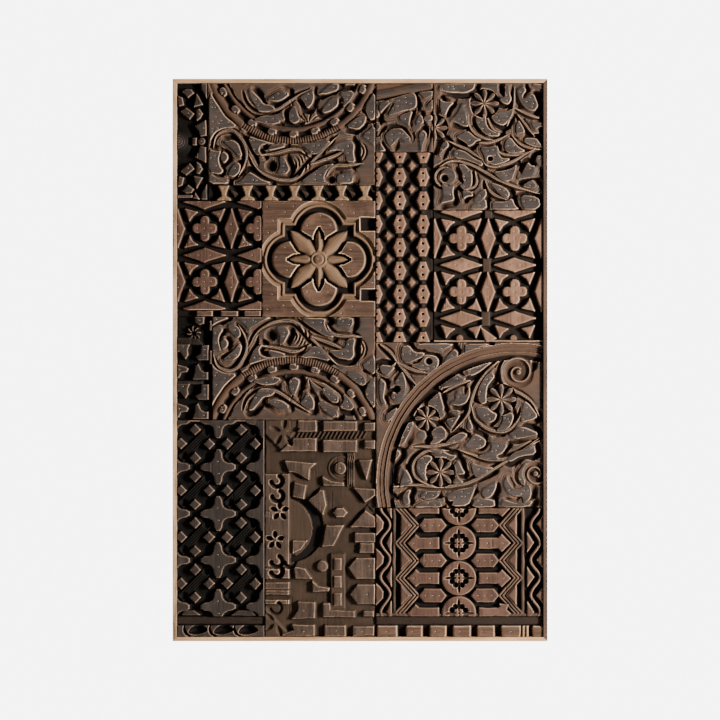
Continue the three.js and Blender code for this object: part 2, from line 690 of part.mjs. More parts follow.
// Arch block: a wide moulding bends from the top right corner down the left side, with flowers and
// curling stems inside it and two leaf scrolls in the corner outside it
const archCentre = [333, -262];
block('arch_block', [middleEdge, right, -316, 38], greyWood, {
  cuts: [
    groove(...archCentre, 288, 288, 74, 120, 14, 6, 8),
    groove(...archCentre, 271, 271, 74, 120, 13, midGround, 8),
    ...flower(143, -125, 29, 6, 12, 6),
    ...flower(302, -84, 33, 6, 13, 6),
    ...flower(172, -240, 33, 6, 13, 6),
    groove(300, -82, 57, 57, 118, 240, 13, deepGround, 5),
    groove(165, -236, 56, 56, 60, 250, 13, deepGround, 6),
    groove(345, -16, 38, 36, 140, 125, 12, deepGround, 4),
    groove(343, -256, 43, 43, 165, 100, 14, deepGround, 3),
    groove(160, -155, 31, 31, 50, -130, 12, deepGround, 4),
    leaf(92, 38, 82, -10, -0.3, 16, deepGround),
    leaf(104, 35, 174, 10, 0.15, 11, deepGround),
    leaf(190, 24, 168, -16, 0.1, 12, deepGround),
    leaf(202, 34, 222, 12, 0.1, 16, deepGround),
    leaf(90, -20, 66, -92, 0.35, 15, deepGround, 2),
    leaf(104, -28, 138, -53, 0, 11, deepGround),
    leaf(80, -98, 40, -130, 0.3, 12, deepGround),
    leaf(312, -64, 338, -94, 0.2, 16, deepGround),
    leaf(322, 12, 336, -20, -0.2, 14, deepGround),
    leaf(300, -60, 392, -76, -0.08, 9),
    leaf(184, -88, 232, -92, -0.35, 12),
    leaf(232, -14, 214, -40, 0, 14, deepGround),
    leaf(118, -142, 120, -184, 0.2, 14, deepGround),
    leaf(232, -214, 232, -264, 0, 18, deepGround),
    leaf(208, -186, 300, -220, -0.12, 12, deepGround),
    leaf(300, -172, 350, -176, -0.1, 9, deepGround),
    leaf(200, -266, 392, -208, 0.1, 11, midGround, 2),
    leaf(346, -222, 330, -272, 0.3, 14, deepGround),
    leaf(100, -196, 74, -272, -0.1, 14, deepGround),
    leaf(74, -274, 96, -306, -0.35, 14, deepGround),
    leaf(106, -274, 180, -296, -0.3, 11),
    pit(147, -3, 8),
    pit(78, -62, 9),
    pit(345, -27, 6),
    pit(180, -302, 9),
    ...[-50, -130, -190].map((z) => leaf(386, z + 16, 386, z - 16, 0, 18, deepGround)),
  ],
});

// Mixed block: plain tablets, bars and wedges on a sunk ground, with a flower at two corners
const stackedBars = [[-446, -466], [-476, -488], [-493, -500], [-513, -520]];
const slotWindows = [[-424, -448], [-462, -486], [-499, -524]];
block('mixed_block', [pegEdge, middleEdge, bottom, -128], brownWood, {
  ground: midGround,
  islands: [
    [[-170, -194], [-94, -194], [-94, -168], [-142, -168]],
    rectangle(-133, -94, -152, -130),
    rectangle(-78, -8, -150, -132),
    rectangle(-78, -8, -195, -172),
    [[-160, -216], [-152, -238], [-110, -255], [-108, -232], [-96, -221]],
    [[-2, -214], [14, -254], [24, -214]],
    [[-140, -262], [-143, -291], [-120, -296], [-116, -268]],
    [[-92, -277], [-108, -300], [-79, -330], [-73, -310], [-78, -280]],
    [[-57, -326], [-50, -335], [-36, -335], [-28, -326], [-36, -317], [-50, -317]],
    [[-12, -274], [10, -304], [33, -288], [33, -277]],
    [[12, -322], [-20, -356], [33, -356], [33, -338]],
    rectangle(-10, 33, -388, -370),
    [[-143, -386], [-143, -412], [-126, -404], [-113, -386]],
    [[-72, -354], [-80, -398], [-58, -396], [-36, -354]],
    ...stackedBars.map(([z1, z0]) => rectangle(pegEdge, -152, z0, z1)),
    ...slotWindows.map(([z1, z0]) => rectangle(-55, -40, z0, z1)),
    [[-24, -443], [-8, -466], [31, -466], [31, -424]],
    [[-20, -500], [-5, -520], [31, -520], [31, -480]],
    [[-140, -442], [-137, -466], [-124, -466], [-104, -466], [-118, -447]],
    [[-132, -517], [-132, -535], [-145, -552], [-97, -550], [-97, -519]],
    [[-78, -520], [-78, -548], [-12, -548], [-12, -537], [-64, -535], [-65, -520]],
    [[-145, -566], [-140, -578], [-172, -588], [-98, -588], [-98, -567]],
    rectangle(-75, -32, -589, -568),
    rectangle(-14, 29, -588, -570),
  ],
  steps: [
    drum(-42, -231, 12, 12, 0, midGround + 1, 10),
    drum(-80, -440, 11, 12, 1, midGround + 1, 6),
    prism(rectangle(-28, -13, -270, -190), lowRelief, midGround + 1),
    prism(rectangle(-62, -33, -532, -414), lowRelief, midGround + 1),
    prism([[-203, -156], [-165, -194], [-128, -128], [-203, -128]], lowRelief, midGround + 1),
    prism([[-203, -590], [-203, -530], [-150, -590]], lowRelief, midGround + 1),
  ],
  cuts: [
    ...flower(-163, -155, 34, 5, 15, 10, 15),
    ...flower(-178, -560, 32, 5, 14, 10),
    groove(-140, -352, 62, 62, -75, 145, 10, 14, 6),
    leaf(-24, -266, 14, -312, 0, 10, deepGround),
    leaf(34, -288, -32, -360, 0, 9, deepGround),
  ],
});

export default panel;
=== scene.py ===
import bmesh
import bpy
import math
import numpy as np
from mathutils import Matrix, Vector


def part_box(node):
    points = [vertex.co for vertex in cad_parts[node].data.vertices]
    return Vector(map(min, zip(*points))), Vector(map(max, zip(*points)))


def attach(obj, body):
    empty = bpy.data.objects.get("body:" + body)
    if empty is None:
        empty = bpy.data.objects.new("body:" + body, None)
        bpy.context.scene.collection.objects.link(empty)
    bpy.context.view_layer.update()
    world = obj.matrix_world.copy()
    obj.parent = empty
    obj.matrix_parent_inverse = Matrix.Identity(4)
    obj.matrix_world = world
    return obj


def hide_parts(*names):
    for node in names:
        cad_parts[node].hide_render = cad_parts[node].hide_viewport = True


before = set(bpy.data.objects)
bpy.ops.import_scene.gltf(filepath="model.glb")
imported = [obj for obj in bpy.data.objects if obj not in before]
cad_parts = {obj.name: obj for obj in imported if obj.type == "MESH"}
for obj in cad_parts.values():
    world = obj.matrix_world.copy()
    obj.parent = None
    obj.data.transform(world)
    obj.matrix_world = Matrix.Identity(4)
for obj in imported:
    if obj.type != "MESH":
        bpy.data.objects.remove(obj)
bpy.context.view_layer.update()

# The room the panel is looked at in: pale all round, with a pale floor below. A narrow lamp low on
# the right throws the shadow of every carved edge to the left; a faint lamp stands in front of the
# panel, and one behind it lights its back.
camera_distance = 6.042
camera_data = bpy.data.cameras.new("camera")
camera_data.lens = 140.6
camera_data.sensor_width = 36
camera_data.clip_end = 60
camera = bpy.data.objects.new("camera", camera_data)
camera.location = (0, -camera_distance, 0)
camera.rotation_euler = (math.radians(90), 0, 0)
bpy.context.scene.collection.objects.link(camera)
bpy.context.scene.camera = camera


def lamp(name, place, width, height, power, colour):
    """A soft lamp, turned to the middle of the panel."""
    data = bpy.data.lights.new(name, "AREA")
    data.shape = "RECTANGLE"
    data.size = width
    data.size_y = height
    data.energy = power
    data.color = colour
    made = bpy.data.objects.new(name, data)
    turn_right = math.atan2(-place[1], -place[0]) - math.pi / 2
    tilt = math.atan2(-place[2], math.hypot(place[0], place[1])) + math.pi / 2
    made.location = place
    made.rotation_euler = (tilt, 0, turn_right)
    bpy.context.scene.collection.objects.link(made)


lamp("side_lamp", (3.0, -2.2, 0.1), 0.5, 1.4, 460, (1.0, 0.94, 0.87))
lamp("front_lamp", (-1.0, -4.6, 0.8), 2.0, 2.0, 4, (0.92, 0.96, 1.0))
lamp("back_lamp", (-1.4, 3.2, 1.2), 2.0, 2.0, 120, (1.0, 0.97, 0.93))

# The camera sees bright walls, but they give the panel hardly any light.
world = bpy.data.worlds.new("pale_room")
bpy.context.scene.world = world
world.use_nodes = True
sky = world.node_tree
sky.nodes.clear()
sky_out = sky.nodes.new("ShaderNodeOutputWorld")
sky_mix = sky.nodes.new("ShaderNodeMixShader")
sky_ray = sky.nodes.new("ShaderNodeLightPath")
sky_dim = sky.nodes.new("ShaderNodeBackground")
sky_pale = sky.nodes.new("ShaderNodeBackground")
sky_dim.inputs["Color"].default_value = (0.9, 0.95, 1.0, 1)
sky_dim.inputs["Strength"].default_value = 0.02
sky_pale.inputs["Color"].default_value = (1.0, 1.0, 1.0, 1)
sky_pale.inputs["Strength"].default_value = 6.8
sky.links.new(sky_ray.outputs["Is Camera Ray"], sky_mix.inputs["Fac"])
sky.links.new(sky_dim.outputs[0], sky_mix.inputs[1])
sky.links.new(sky_pale.outputs[0], sky_mix.inputs[2])
sky.links.new(sky_mix.outputs[0], sky_out.inputs["Surface"])


def plain_finish(name, colour, roughness):
    material = bpy.data.materials.new(name)
    material.use_nodes = True
    shader = material.node_tree.nodes["Principled BSDF"]
    shader.inputs["Base Color"].default_value = (*colour, 1)
    shader.inputs["Roughness"].default_value = roughness
    return material


floor_half_size = (1.5, 0.68, 1)
floor_middle = (0, -0.55, -0.8)
floor_mesh = bmesh.new()
bmesh.ops.create_grid(floor_mesh, x_segments=1, y_segments=1, size=1)
bmesh.ops.scale(floor_mesh, verts=floor_mesh.verts, vec=floor_half_size)
bmesh.ops.translate(floor_mesh, verts=floor_mesh.verts, vec=floor_middle)
floor_data = bpy.data.meshes.new("floor")
floor_mesh.to_mesh(floor_data)
floor_mesh.free()
floor_data.materials.append(plain_finish("pale_floor", (0.82, 0.82, 0.81), 0.8))
floor = bpy.data.objects.new("floor", floor_data)
bpy.context.scene.collection.objects.link(floor)


# Frame: four strips of raw sawn softwood, mitred at the corners and nailed to the backboard's edge.
# Sanding has eased their edges; three are pale, and the right one is painted dark brown as painted shade.
def link(tree, source, target):
    tree.links.new(source, target)


def new_node(tree, kind, **settings):
    made = tree.nodes.new("ShaderNode" + kind)
    for key, value in settings.items():
        setattr(made, key, value)
    return made


def stretched_noise(tree, place, stretch, scale, detail, roughness=0.6):
    """Noise drawn out along the grain; returns its value."""
    mapping = new_node(tree, "Mapping")
    mapping.inputs["Scale"].default_value = stretch
    link(tree, place, mapping.inputs["Vector"])
    noise = new_node(tree, "TexNoise")
    noise.inputs["Scale"].default_value = scale
    noise.inputs["Detail"].default_value = detail
    noise.inputs["Roughness"].default_value = roughness
    link(tree, mapping.outputs[0], noise.inputs["Vector"])
    return noise.outputs["Fac"]


def graded(tree, value, low, high, low_out=0.0, high_out=1.0):
    """Stretches a value from one range to another, and holds it there."""
    grade = new_node(tree, "MapRange")
    grade.inputs["From Min"].default_value = low
    grade.inputs["From Max"].default_value = high
    grade.inputs["To Min"].default_value = low_out
    grade.inputs["To Max"].default_value = high_out
    link(tree, value, grade.inputs["Value"])
    return grade.outputs["Result"]


def mixed_colour(tree, amount, first, second):
    """Mixes two colours, each a colour or the output of another node."""
    mix = new_node(tree, "Mix", data_type="RGBA")
    link(tree, amount, mix.inputs["Factor"])
    for socket, colour in ((mix.inputs[6], first), (mix.inputs[7], second)):
        if isinstance(colour, tuple):
            socket.default_value = (*colour, 1)
        else:
            link(tree, colour, socket)
    return mix.outputs[2]


def sums(tree, operation, first, second):
    """One step of arithmetic on two values, each a number or the output of another node."""
    step = new_node(tree, "Math", operation=operation)
    for socket, value in zip(step.inputs, (first, second)):
        if isinstance(value, (int, float)):
            socket.default_value = value
        else:
            link(tree, value, socket)
    return step.outputs[0]


def blank_material(name):
    """A material, its nodes, its shader, and the places on the panel that its pattern goes by."""
    material = bpy.data.materials.new(name)
    material.use_nodes = True
    tree = material.node_tree
    place = new_node(tree, "TexCoord").outputs["Object"]
    return material, tree, tree.nodes["Principled BSDF"], place


def roughened(tree, height, strength, relief):
    """Makes a value stand out as fine bumps, with a relief in metres."""
    bump = new_node(tree, "Bump")
    bump.inputs["Strength"].default_value = strength
    bump.inputs["Distance"].default_value = relief
    link(tree, height, bump.inputs["Height"])
    link(tree, bump.outputs[0], tree.nodes["Principled BSDF"].inputs["Normal"])


def sawn_wood(name, pale, dark, stretch):
    """Raw sawn softwood: pale, with fine darker streaks along the strip."""
    material, tree, shader, place = blank_material(name)
    streaks = stretched_noise(tree, place, stretch, 90, 7, 0.7)
    patches = stretched_noise(tree, place, (1, 1, 1), 9, 3)
    patchy = graded(tree, patches, 0.35, 0.75, -0.25, 0.4)
    share = sums(tree, "ADD", graded(tree, streaks, 0.35, 0.68), patchy)
    colour = mixed_colour(tree, graded(tree, share, 0, 1), pale, dark)
    link(tree, colour, shader.inputs["Base Color"])
    link(tree, graded(tree, streaks, 0.3, 0.7, 0.6, 0.85), shader.inputs["Roughness"])
    roughened(tree, streaks, 0.5, 0.0006)
    return material


strip_across = sawn_wood("strip_wood_across", (0.62, 0.38, 0.19), (0.30, 0.16, 0.075), (0.06, 1, 1))
strip_up = sawn_wood("strip_wood_up", (0.66, 0.41, 0.22), (0.12, 0.066, 0.033), (1, 1, 0.06))
# The right strip is the same wood painted dark brown: painted shade.
strip_up_shaded = sawn_wood("strip_wood_up_shaded", (0.078, 0.040, 0.021), (0.016, 0.009, 0.005), (1, 1, 0.06))


def placed(name, data, material, node):
    """Puts a finished mesh on the panel, in the place of the node's plain solid."""
    data.materials.append(material)
    piece = bpy.data.objects.new(name, data)
    bpy.context.scene.collection.objects.link(piece)
    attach(piece, "root")
    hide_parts(node)


strip_easing = 0.0007
for side, material in (("top", strip_across), ("bottom", strip_across), ("left", strip_up),
                       ("right", strip_up_shaded)):
    node = "frame_" + side
    bm = bmesh.new()
    bm.from_mesh(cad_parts[node].data)
    bmesh.ops.remove_doubles(bm, verts=bm.verts, dist=1e-5)
    bmesh.ops.dissolve_limit(bm, angle_limit=0.02, verts=bm.verts, edges=bm.edges)
    bmesh.ops.bevel(bm, geom=bm.edges, offset=strip_easing, segments=2, affect="EDGES", profile=0.5,
                    material=-1)
    data = bpy.data.meshes.new(side + "_strip")
    bm.to_mesh(data)
    bm.free()
    placed(side + "_strip", data, material, node)


# Backboard: a plain board of dark softwood that the blocks are glued and nailed to. It fills the
# frame, and its back lies against the wall.
board_wood = sawn_wood("board_wood", (0.10, 0.065, 0.042), (0.035, 0.022, 0.015), (1, 1, 0.05))
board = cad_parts["backboard"]
board.data.materials.clear()
board.data.materials.append(board_wood)


# Trellis blocks: dense wood cut back with gouges until circles overlap round small quatrefoils. The
# standing faces are pale at their edges, partly rubbed and partly a painted highlight; the sunk ground
# is painted black, partly old dye and partly painted shade; and nails hold the thin parts.
face_line = -0.040
block_back = -0.0123
# How deep the carving goes below the face, in millimetres.
deep = 14
middle = 9
low = 4


def blank_block(node, step=1.4, ground=0.0):
    """A flat block with a fine front: where its points are, in millimetres, and how deep each is cut."""
    corner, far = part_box(node)
    width, height = far.x - corner.x, far.z - corner.z
    columns, rows = round(width * 1000 / step), round(height * 1000 / step)
    across = np.linspace(corner.x, far.x, columns + 1) * 1000
    up = np.linspace(corner.z, far.z, rows + 1) * 1000
    x, z = np.meshgrid(across, up)
    return {"node": node, "across": across, "up": up, "x": x, "z": z, "ground": float(ground),
            "depth": np.full(x.shape, float(ground))}


def part_of(block, x0, x1, z0, z1):
    """Picks the points of a block that lie between two places across and two up."""
    i0, i1 = np.searchsorted(block["across"], [x0, x1])
    j0, j1 = np.searchsorted(block["up"], [z0, z1])
    return np.s_[j0:j1, i0:i1]


def mottle(x, z, cell_x, cell_z, seed):
    """Soft random hills, one to a cell, from -1 to 1."""
    table = np.random.default_rng(seed).uniform(-1, 1, (97, 89))
    u, v = x / cell_x + 500, z / cell_z + 500
    i, j = np.floor(u).astype(int), np.floor(v).astype(int)
    fu, fv = u - i, v - j
    su, sv = fu * fu * (3 - 2 * fu), fv * fv * (3 - 2 * fv)
    lower = table[j % 97, i % 89] * (1 - su) + table[j % 97, (i + 1) % 89] * su
    upper = table[(j + 1) % 97, i % 89] * (1 - su) + table[(j + 1) % 97, (i + 1) % 89] * su
    return lower * (1 - sv) + upper * sv


def wandering(x, z):
    """Where a hand-held gouge really cuts, a little off its drawn place."""
    return x + 0.7 * mottle(x, z, 16, 16, 5), z + 0.7 * mottle(x, z, 16, 16, 6)


def outline_distance(x, z, outline):
    """How far each point lies outside an outline, negative inside it."""
    nearest = np.full(x.shape, 1e9)
    inside = np.zeros(x.shape, bool)
    for (ax, az), (bx, bz) in zip(outline, [*outline[1:], outline[0]]):
        ex, ez = bx - ax, bz - az
        px, pz = x - ax, z - az
        t = np.clip((px * ex + pz * ez) / max(ex * ex + ez * ez, 1e-9), 0, 1)
        nearest = np.minimum(nearest, (px - t * ex) ** 2 + (pz - t * ez) ** 2)
        if az != bz:
            inside ^= ((az > z) != (bz > z)) & (x < ax + pz * ex / ez)
    return np.where(inside, -1, 1) * np.sqrt(nearest)


def flank_depth(distance, level, steep):
    """The depth of a drafted flank at a distance outside its top edge, which is worn round."""
    wear = 0.5
    return level + steep * wear * np.logaddexp(0, np.clip(distance / wear, -30, 30))


def around(block, points, reach):
    """The part of a block within reach of some points, and where a gouge finds its points."""
    xs, zs = zip(*points)
    part = part_of(block, min(xs) - reach, max(xs) + reach, min(zs) - reach, max(zs) + reach)
    return part, *wandering(block["x"][part], block["z"][part])


def stand(block, outline, level=0.0, flank=3.5):
    """Leaves an outline standing up to a level, with drafted flanks down to the ground."""
    part, x, z = around(block, outline, flank + 3)
    steep = max(block["ground"] - level, 6) / flank
    sides = flank_depth(outline_distance(x, z, outline), level, steep)
    block["depth"][part] = np.minimum(block["depth"][part], sides)


def stand_all(block, outlines, level=0.0, flank=3.5):
    for outline in outlines:
        stand(block, outline, level, flank)


def moved(outline, x, z):
    return [(x + a, z + b) for a, b in outline]


def along_line(x, z, line):
    """How far each point is from a line of points, and how far along it, from 0 to 1."""
    nearest = np.full(x.shape, 1e9)
    where = np.zeros(x.shape)
    lengths = [math.dist(a, b) for a, b in zip(line, line[1:])]
    total, run = sum(lengths), 0
    for (ax, az), (bx, bz), length in zip(line, line[1:], lengths):
        ex, ez = bx - ax, bz - az
        t = np.clip(((x - ax) * ex + (z - az) * ez) / max(length * length, 1e-9), 0, 1)
        distance = (x - ax - t * ex) ** 2 + (z - az - t * ez) ** 2
        closer = distance < nearest
        nearest = np.where(closer, distance, nearest)
        where = np.where(closer, (run + t * length) / total, where)
        run += length
    return np.sqrt(nearest), where


def bowed(x0, z0, x1, z1, bend, points=14):
    """A line that bows to the left of its way by a share of its length."""
    line = []
    for t in np.linspace(0, 1, points):
        side = 4 * t * (1 - t) * bend
        line.append((x0 + (x1 - x0) * t - (z1 - z0) * side, z0 + (z1 - z0) * t + (x1 - x0) * side))
    return line


def leaf_taper(t):
    """The width of a cut that narrows to a point at both ends, as a share of its full width."""
    return np.sin(np.pi * np.clip(t, 0, 1)) ** 0.6


def hole(block, x, z, radius, depth, fullness=2.5):
    """A round hole or scoop, flatter at the bottom where fullness is high."""
    part, px, pz = around(block, [(x, z)], radius + 1)
    share = np.clip(np.hypot(px - x, pz - z) / radius, 0, 1)
    block["depth"][part] = np.maximum(block["depth"][part], depth * (1 - share ** fullness))


def button(block, x, z, radius, top):
    """A round plug standing up to a level, a little domed."""
    flank = 3
    part, px, pz = around(block, [(x, z)], radius + flank + 2)
    away = np.hypot(px - x, pz - z)
    rise = flank_depth(away - radius, top, deep / flank) + 0.8 * (away / radius) ** 2
    block["depth"][part] = np.minimum(block["depth"][part], rise)


def box_outline(x0, x1, z0, z1):
    return [(x0, z0), (x1, z0), (x1, z1), (x0, z1)]


def averaged(field, reach):
    """The field averaged over a square that reaches so many points each way."""
    for axis in (0, 1):
        pad = [(reach + 1, reach) if a == axis else (0, 0) for a in (0, 1)]
        total = np.cumsum(np.pad(field, pad, mode="edge"), axis=axis)
        count = field.shape[axis]
        field = (np.take(total, range(2 * reach + 1, 2 * reach + 1 + count), axis)
                 - np.take(total, range(count), axis)) / (2 * reach + 1)
    return field


nail_places = []
dent_radius = 2.8
dent_depth = 1.6


def drive_nails(block, places):
    """Nails at points of the block, each in a small dent; none over a pit or past the block's edge."""
    for x, z in places:
        spot = block["depth"][part_of(block, x - 1, x + 1, z - 1, z + 1)]
        if spot.size == 0 or spot.max() > low:
            continue
        level = float(spot.max())
        hole(block, x, z, dent_radius, level + dent_depth, 2)
        nail_places.append((x, z, level))


def worn(block, seed, grain_up, crack_count=10, roughness=0.35):
    """Age: uneven faces, rounded block edges, and cracks along the grain."""
    x, z, depth = block["x"], block["z"], block["depth"]
    x0, x1, z0, z1 = x.min(), x.max(), z.min(), z.max()
    cell_x, cell_z = (3, 40) if grain_up else (40, 3)
    depth += roughness * (1 + mottle(x, z, 22, 22, seed)) / 2
    depth += roughness * 0.6 * (1 + mottle(x, z, cell_x, cell_z, seed + 1)) / 2
    edge = np.minimum(np.minimum(x - x0, x1 - x), np.minimum(z - z0, z1 - z))
    ragged = edge + 0.8 * mottle(x, z, 9, 9, seed + 2)
    edge_fall, edge_width = 3.0, 1.8
    depth += edge_fall * np.clip(1 - ragged / edge_width, 0, 1) ** 1.5
    rng = np.random.default_rng(seed)
    for _ in range(crack_count):
        cx, cz = rng.uniform(x0, x1), rng.uniform(z0, z1)
        length = rng.uniform(15, 55)
        lean = rng.uniform(-0.03, 0.03)
        end = (cx + lean * length, cz + length) if grain_up else (cx + length, cz + lean * length)
        part = part_of(block, cx - 4, max(end[0], cx) + 4, cz - 4, max(end[1], cz) + 4)
        if depth[part].size == 0:
            continue
        distance, along = along_line(x[part], z[part], bowed(cx, cz, *end, 0.01, 6))
        open_by = rng.uniform(0.9, 1.5) * leaf_taper(along)
        depth[part] += rng.uniform(0.8, 2.0) * np.clip(1 - distance / np.maximum(open_by, 0.05), 0, 1)
    deepest = deep + 2.5
    block["depth"] = np.clip(depth, 0, deepest)


def carved_piece(block, name, material):
    """Makes the block's mesh: a fine grid for its front, drawn back round its edge and closed."""
    node, across, up, depth = block["node"], block["across"], block["up"], block["depth"]
    columns, rows = len(across) - 1, len(up) - 1
    width, height = (across[-1] - across[0]) / 1000, (up[-1] - up[0]) / 1000
    place = Matrix.Translation(((across[0] + across[-1]) / 2000, face_line, (up[0] + up[-1]) / 2000))
    place = place @ Matrix.Rotation(math.radians(90), 4, "X") @ Matrix.Diagonal((width, height, 1, 1))
    bm = bmesh.new()
    bmesh.ops.create_grid(bm, x_segments=columns, y_segments=rows, size=0.5, matrix=place)
    for face in bm.faces:
        face.smooth = True
    rim = [edge for edge in bm.edges if edge.is_boundary]
    for edge in rim:
        edge.smooth = False
    drawn = bmesh.ops.extrude_edge_only(bm, edges=rim)["geom"]
    back_verts = [item for item in drawn if isinstance(item, bmesh.types.BMVert)]
    for vert in back_verts:
        vert.co.y = block_back
    back_edges = [edge for edge in bm.edges if edge.is_boundary]
    bmesh.ops.contextual_create(bm, geom=back_edges)
    bmesh.ops.recalc_face_normals(bm, faces=bm.faces)
    data = bpy.data.meshes.new(name)
    bm.to_mesh(data)
    bm.free()
    co = np.zeros(len(data.vertices) * 3)
    data.vertices.foreach_get("co", co)
    co = co.reshape(-1, 3)
    front = co[:, 1] < face_line + 0.001
    column = np.clip(np.rint((co[:, 0] * 1000 - across[0]) / (across[1] - across[0])), 0, columns).astype(int)
    row = np.clip(np.rint((co[:, 2] * 1000 - up[0]) / (up[1] - up[0])), 0, rows).astype(int)
    co[:, 1] = np.where(front, face_line + depth[row, column] / 1000, co[:, 1])
    data.vertices.foreach_set("co", co.ravel())
    # Convex edges are marked for the material to paint pale: partly wear, partly a painted highlight.
    rubbed_and_highlit = (averaged(depth, 1) - depth) / 2.2
    # Each point is compared with its surroundings: local hollows are painted darker, a painted shade, and
    # bumps lighter.
    sunk = (averaged(depth, 9) - depth) / 8
    side_value = 0.3
    for key, field in (("cut_depth", depth / deep), ("rubbed_and_highlit", rubbed_and_highlit), ("sunk", sunk)):
        values = np.where(front, field[row, column], side_value)
        layer = data.attributes.new(key, "FLOAT", "POINT")
        layer.data.foreach_set("value", values.astype(np.float32))
    placed(name, data, material, node)


def old_wood(name, face, rubbed_and_highlit, hollow, black, grain_up, grain=0.35, black_from=0.55, shine=0.5):
    """Old block wood: a patinated face, pale edges that are partly wear and partly painted highlight, and
    brown hollows and black grounds that are partly grime and partly painted shade.
    """
    material, tree, shader, place = blank_material(name)
    stretch = (1, 1, 0.05) if grain_up else (0.05, 1, 1)
    streaks = stretched_noise(tree, place, stretch, 260, 6, 0.65)
    bands = stretched_noise(tree, place, stretch, 60, 3, 0.5)
    patches = stretched_noise(tree, place, (1, 1, 1), 18, 5, 0.6)
    specks = stretched_noise(tree, place, (1, 1, 1), 420, 3, 0.6)
    depth = new_node(tree, "Attribute", attribute_name="cut_depth").outputs["Fac"]
    edge = new_node(tree, "Attribute", attribute_name="rubbed_and_highlit").outputs["Fac"]
    sunk = new_node(tree, "Attribute", attribute_name="sunk").outputs["Fac"]
    dark_face = tuple(c * (1 - grain) for c in face)
    tone = sums(tree, "ADD", sums(tree, "MULTIPLY", streaks, 0.6), sums(tree, "MULTIPLY", bands, 0.4))
    colour = mixed_colour(tree, graded(tree, tone, 0.38, 0.62), dark_face, face)
    pale_face = tuple(min(1, c * 1.35) for c in face)
    colour = mixed_colour(tree, graded(tree, patches, 0.5, 0.7, 0, 0.8), colour, pale_face)
    colour = mixed_colour(tree, graded(tree, specks, 0.55, 0.70, 0, 0.8), colour, dark_face)
    # Convex edges are painted pale: partly wood worn through the patina, partly a painted highlight.
    wear_and_highlight = sums(tree, "MULTIPLY", graded(tree, edge, 0.12, 0.8), graded(tree, patches, 0.3, 0.6, 0.35, 1))
    colour = mixed_colour(tree, wear_and_highlight, colour, rubbed_and_highlit)
    # Colour by depth: deep and locally sunk places are painted brown, then black; partly grime and patina,
    # partly painted shade in the recesses.
    dirt_and_shade = sums(tree, "ADD", depth, graded(tree, patches, 0.3, 0.7, -0.12, 0.12))
    dirt_and_shade = sums(tree, "SUBTRACT", dirt_and_shade, graded(tree, sunk, -1, 1, -0.2, 0.2))
    colour = mixed_colour(tree, graded(tree, dirt_and_shade, 0.08, 0.3), colour, hollow)
    colour = mixed_colour(tree, graded(tree, dirt_and_shade, black_from - 0.3, black_from + 0.1), colour, black)
    link(tree, colour, shader.inputs["Base Color"])
    rough = sums(tree, "ADD", graded(tree, streaks, 0.3, 0.7, -0.1, 0.12), shine)
    link(tree, sums(tree, "ADD", rough, graded(tree, dirt_and_shade, 0.1, 0.7, 0, 0.25)), shader.inputs["Roughness"])
    shader.inputs["Specular IOR Level"].default_value = 0.12
    roughened(tree, sums(tree, "ADD", streaks, sums(tree, "MULTIPLY", specks, 0.5)), 0.6, 0.0005)
    return material


rose_wood = old_wood("rose_wood", (0.215, 0.118, 0.078), (0.66, 0.43, 0.28), (0.060, 0.037, 0.025),
                     (0.012, 0.008, 0.006), True, 0.5)
# A darker copy of the rose wood. On the left trellis block its darkness is painted shade, for the light
# falling off towards the panel's left.
darker_wood = old_wood("darker_rose_wood", (0.098, 0.054, 0.039), (0.50, 0.32, 0.21), (0.040, 0.025, 0.017),
                       (0.006, 0.004, 0.003), True, 0.5)
trellis_pitch = 114
trellis_count = 2
four_ways = ((1, 0), (0, 1), (-1, 0), (0, -1))


def four_arms(x, z, arm):
    """The outline of four like arms round a centre."""
    outline = []
    for c, s in four_ways:
        outline += [(x + a * c + b * s, z - a * s + b * c) for a, b in arm]
    return outline


def quatrefoil(x, z):
    lobe = [(9.5, 9.5), (17.5, 9.5), (22.5, 7.8), (25.3, 3.5), (25.3, -3.5), (22.5, -7.8), (17.5, -9.5)]
    return four_arms(x, z, lobe)


def lens(half_length, half_width):
    """The pointed shape where two circles of the trellis cross."""
    side = [(half_length * t, half_width * (1 - abs(t)) ** 1.05) for t in np.linspace(-1, 1, 9)]
    return side + [(a, -b) for a, b in side[-2:0:-1]]


def upright_lens(x, z):
    return [(x + b, z + a) for a, b in lens(41, 14.5)]


def flat_lens(x, z):
    return moved(lens(43.5, 15), x, z)


def spandrels(x, z):
    """The four bent corners that fill a square round a circle."""
    corner = [(42, 41), (15, 34.5), (25, 27), (32, 16)]
    signs = [(1, 1), (-1, 1), (-1, -1), (1, -1)]
    return [[(x + a * sx, z + b * sz) for a, b in corner] for sx, sz in signs]


def trellis(block, first_x, first_z):
    """Carves two by two circles of the pattern, and gives back their centres."""
    centres = [(first_x + i * trellis_pitch, first_z - j * trellis_pitch)
               for i in range(trellis_count) for j in range(trellis_count)]
    lenses = [flat_lens(first_x + i * trellis_pitch, first_z - (trellis_count - 0.5) * trellis_pitch)
              for i in range(trellis_count)]
    for x, z in centres:
        stand_all(block, [quatrefoil(x, z), *spandrels(x, z)], 0, 4)
        lenses += [upright_lens(x - trellis_pitch / 2, z), flat_lens(x, z + trellis_pitch / 2)]
    stand_all(block, lenses, 0, 4.5)
    return centres


def trellis_nails(centres):
    places = []
    for x, z in centres:
        places += [(x, z + 15), (x + 1, z - 15), (x - 15, z), (x + 15, z + 1), (x, z)]
        places += [(x - 57, z + 9), (x - 56, z - 12), (x - 12, z + 57), (x + 13, z + 56)]
        places += [(x + 31, z + 30), (x - 30, z + 31), (x - 31, z - 30), (x + 30, z - 31)]
    return places


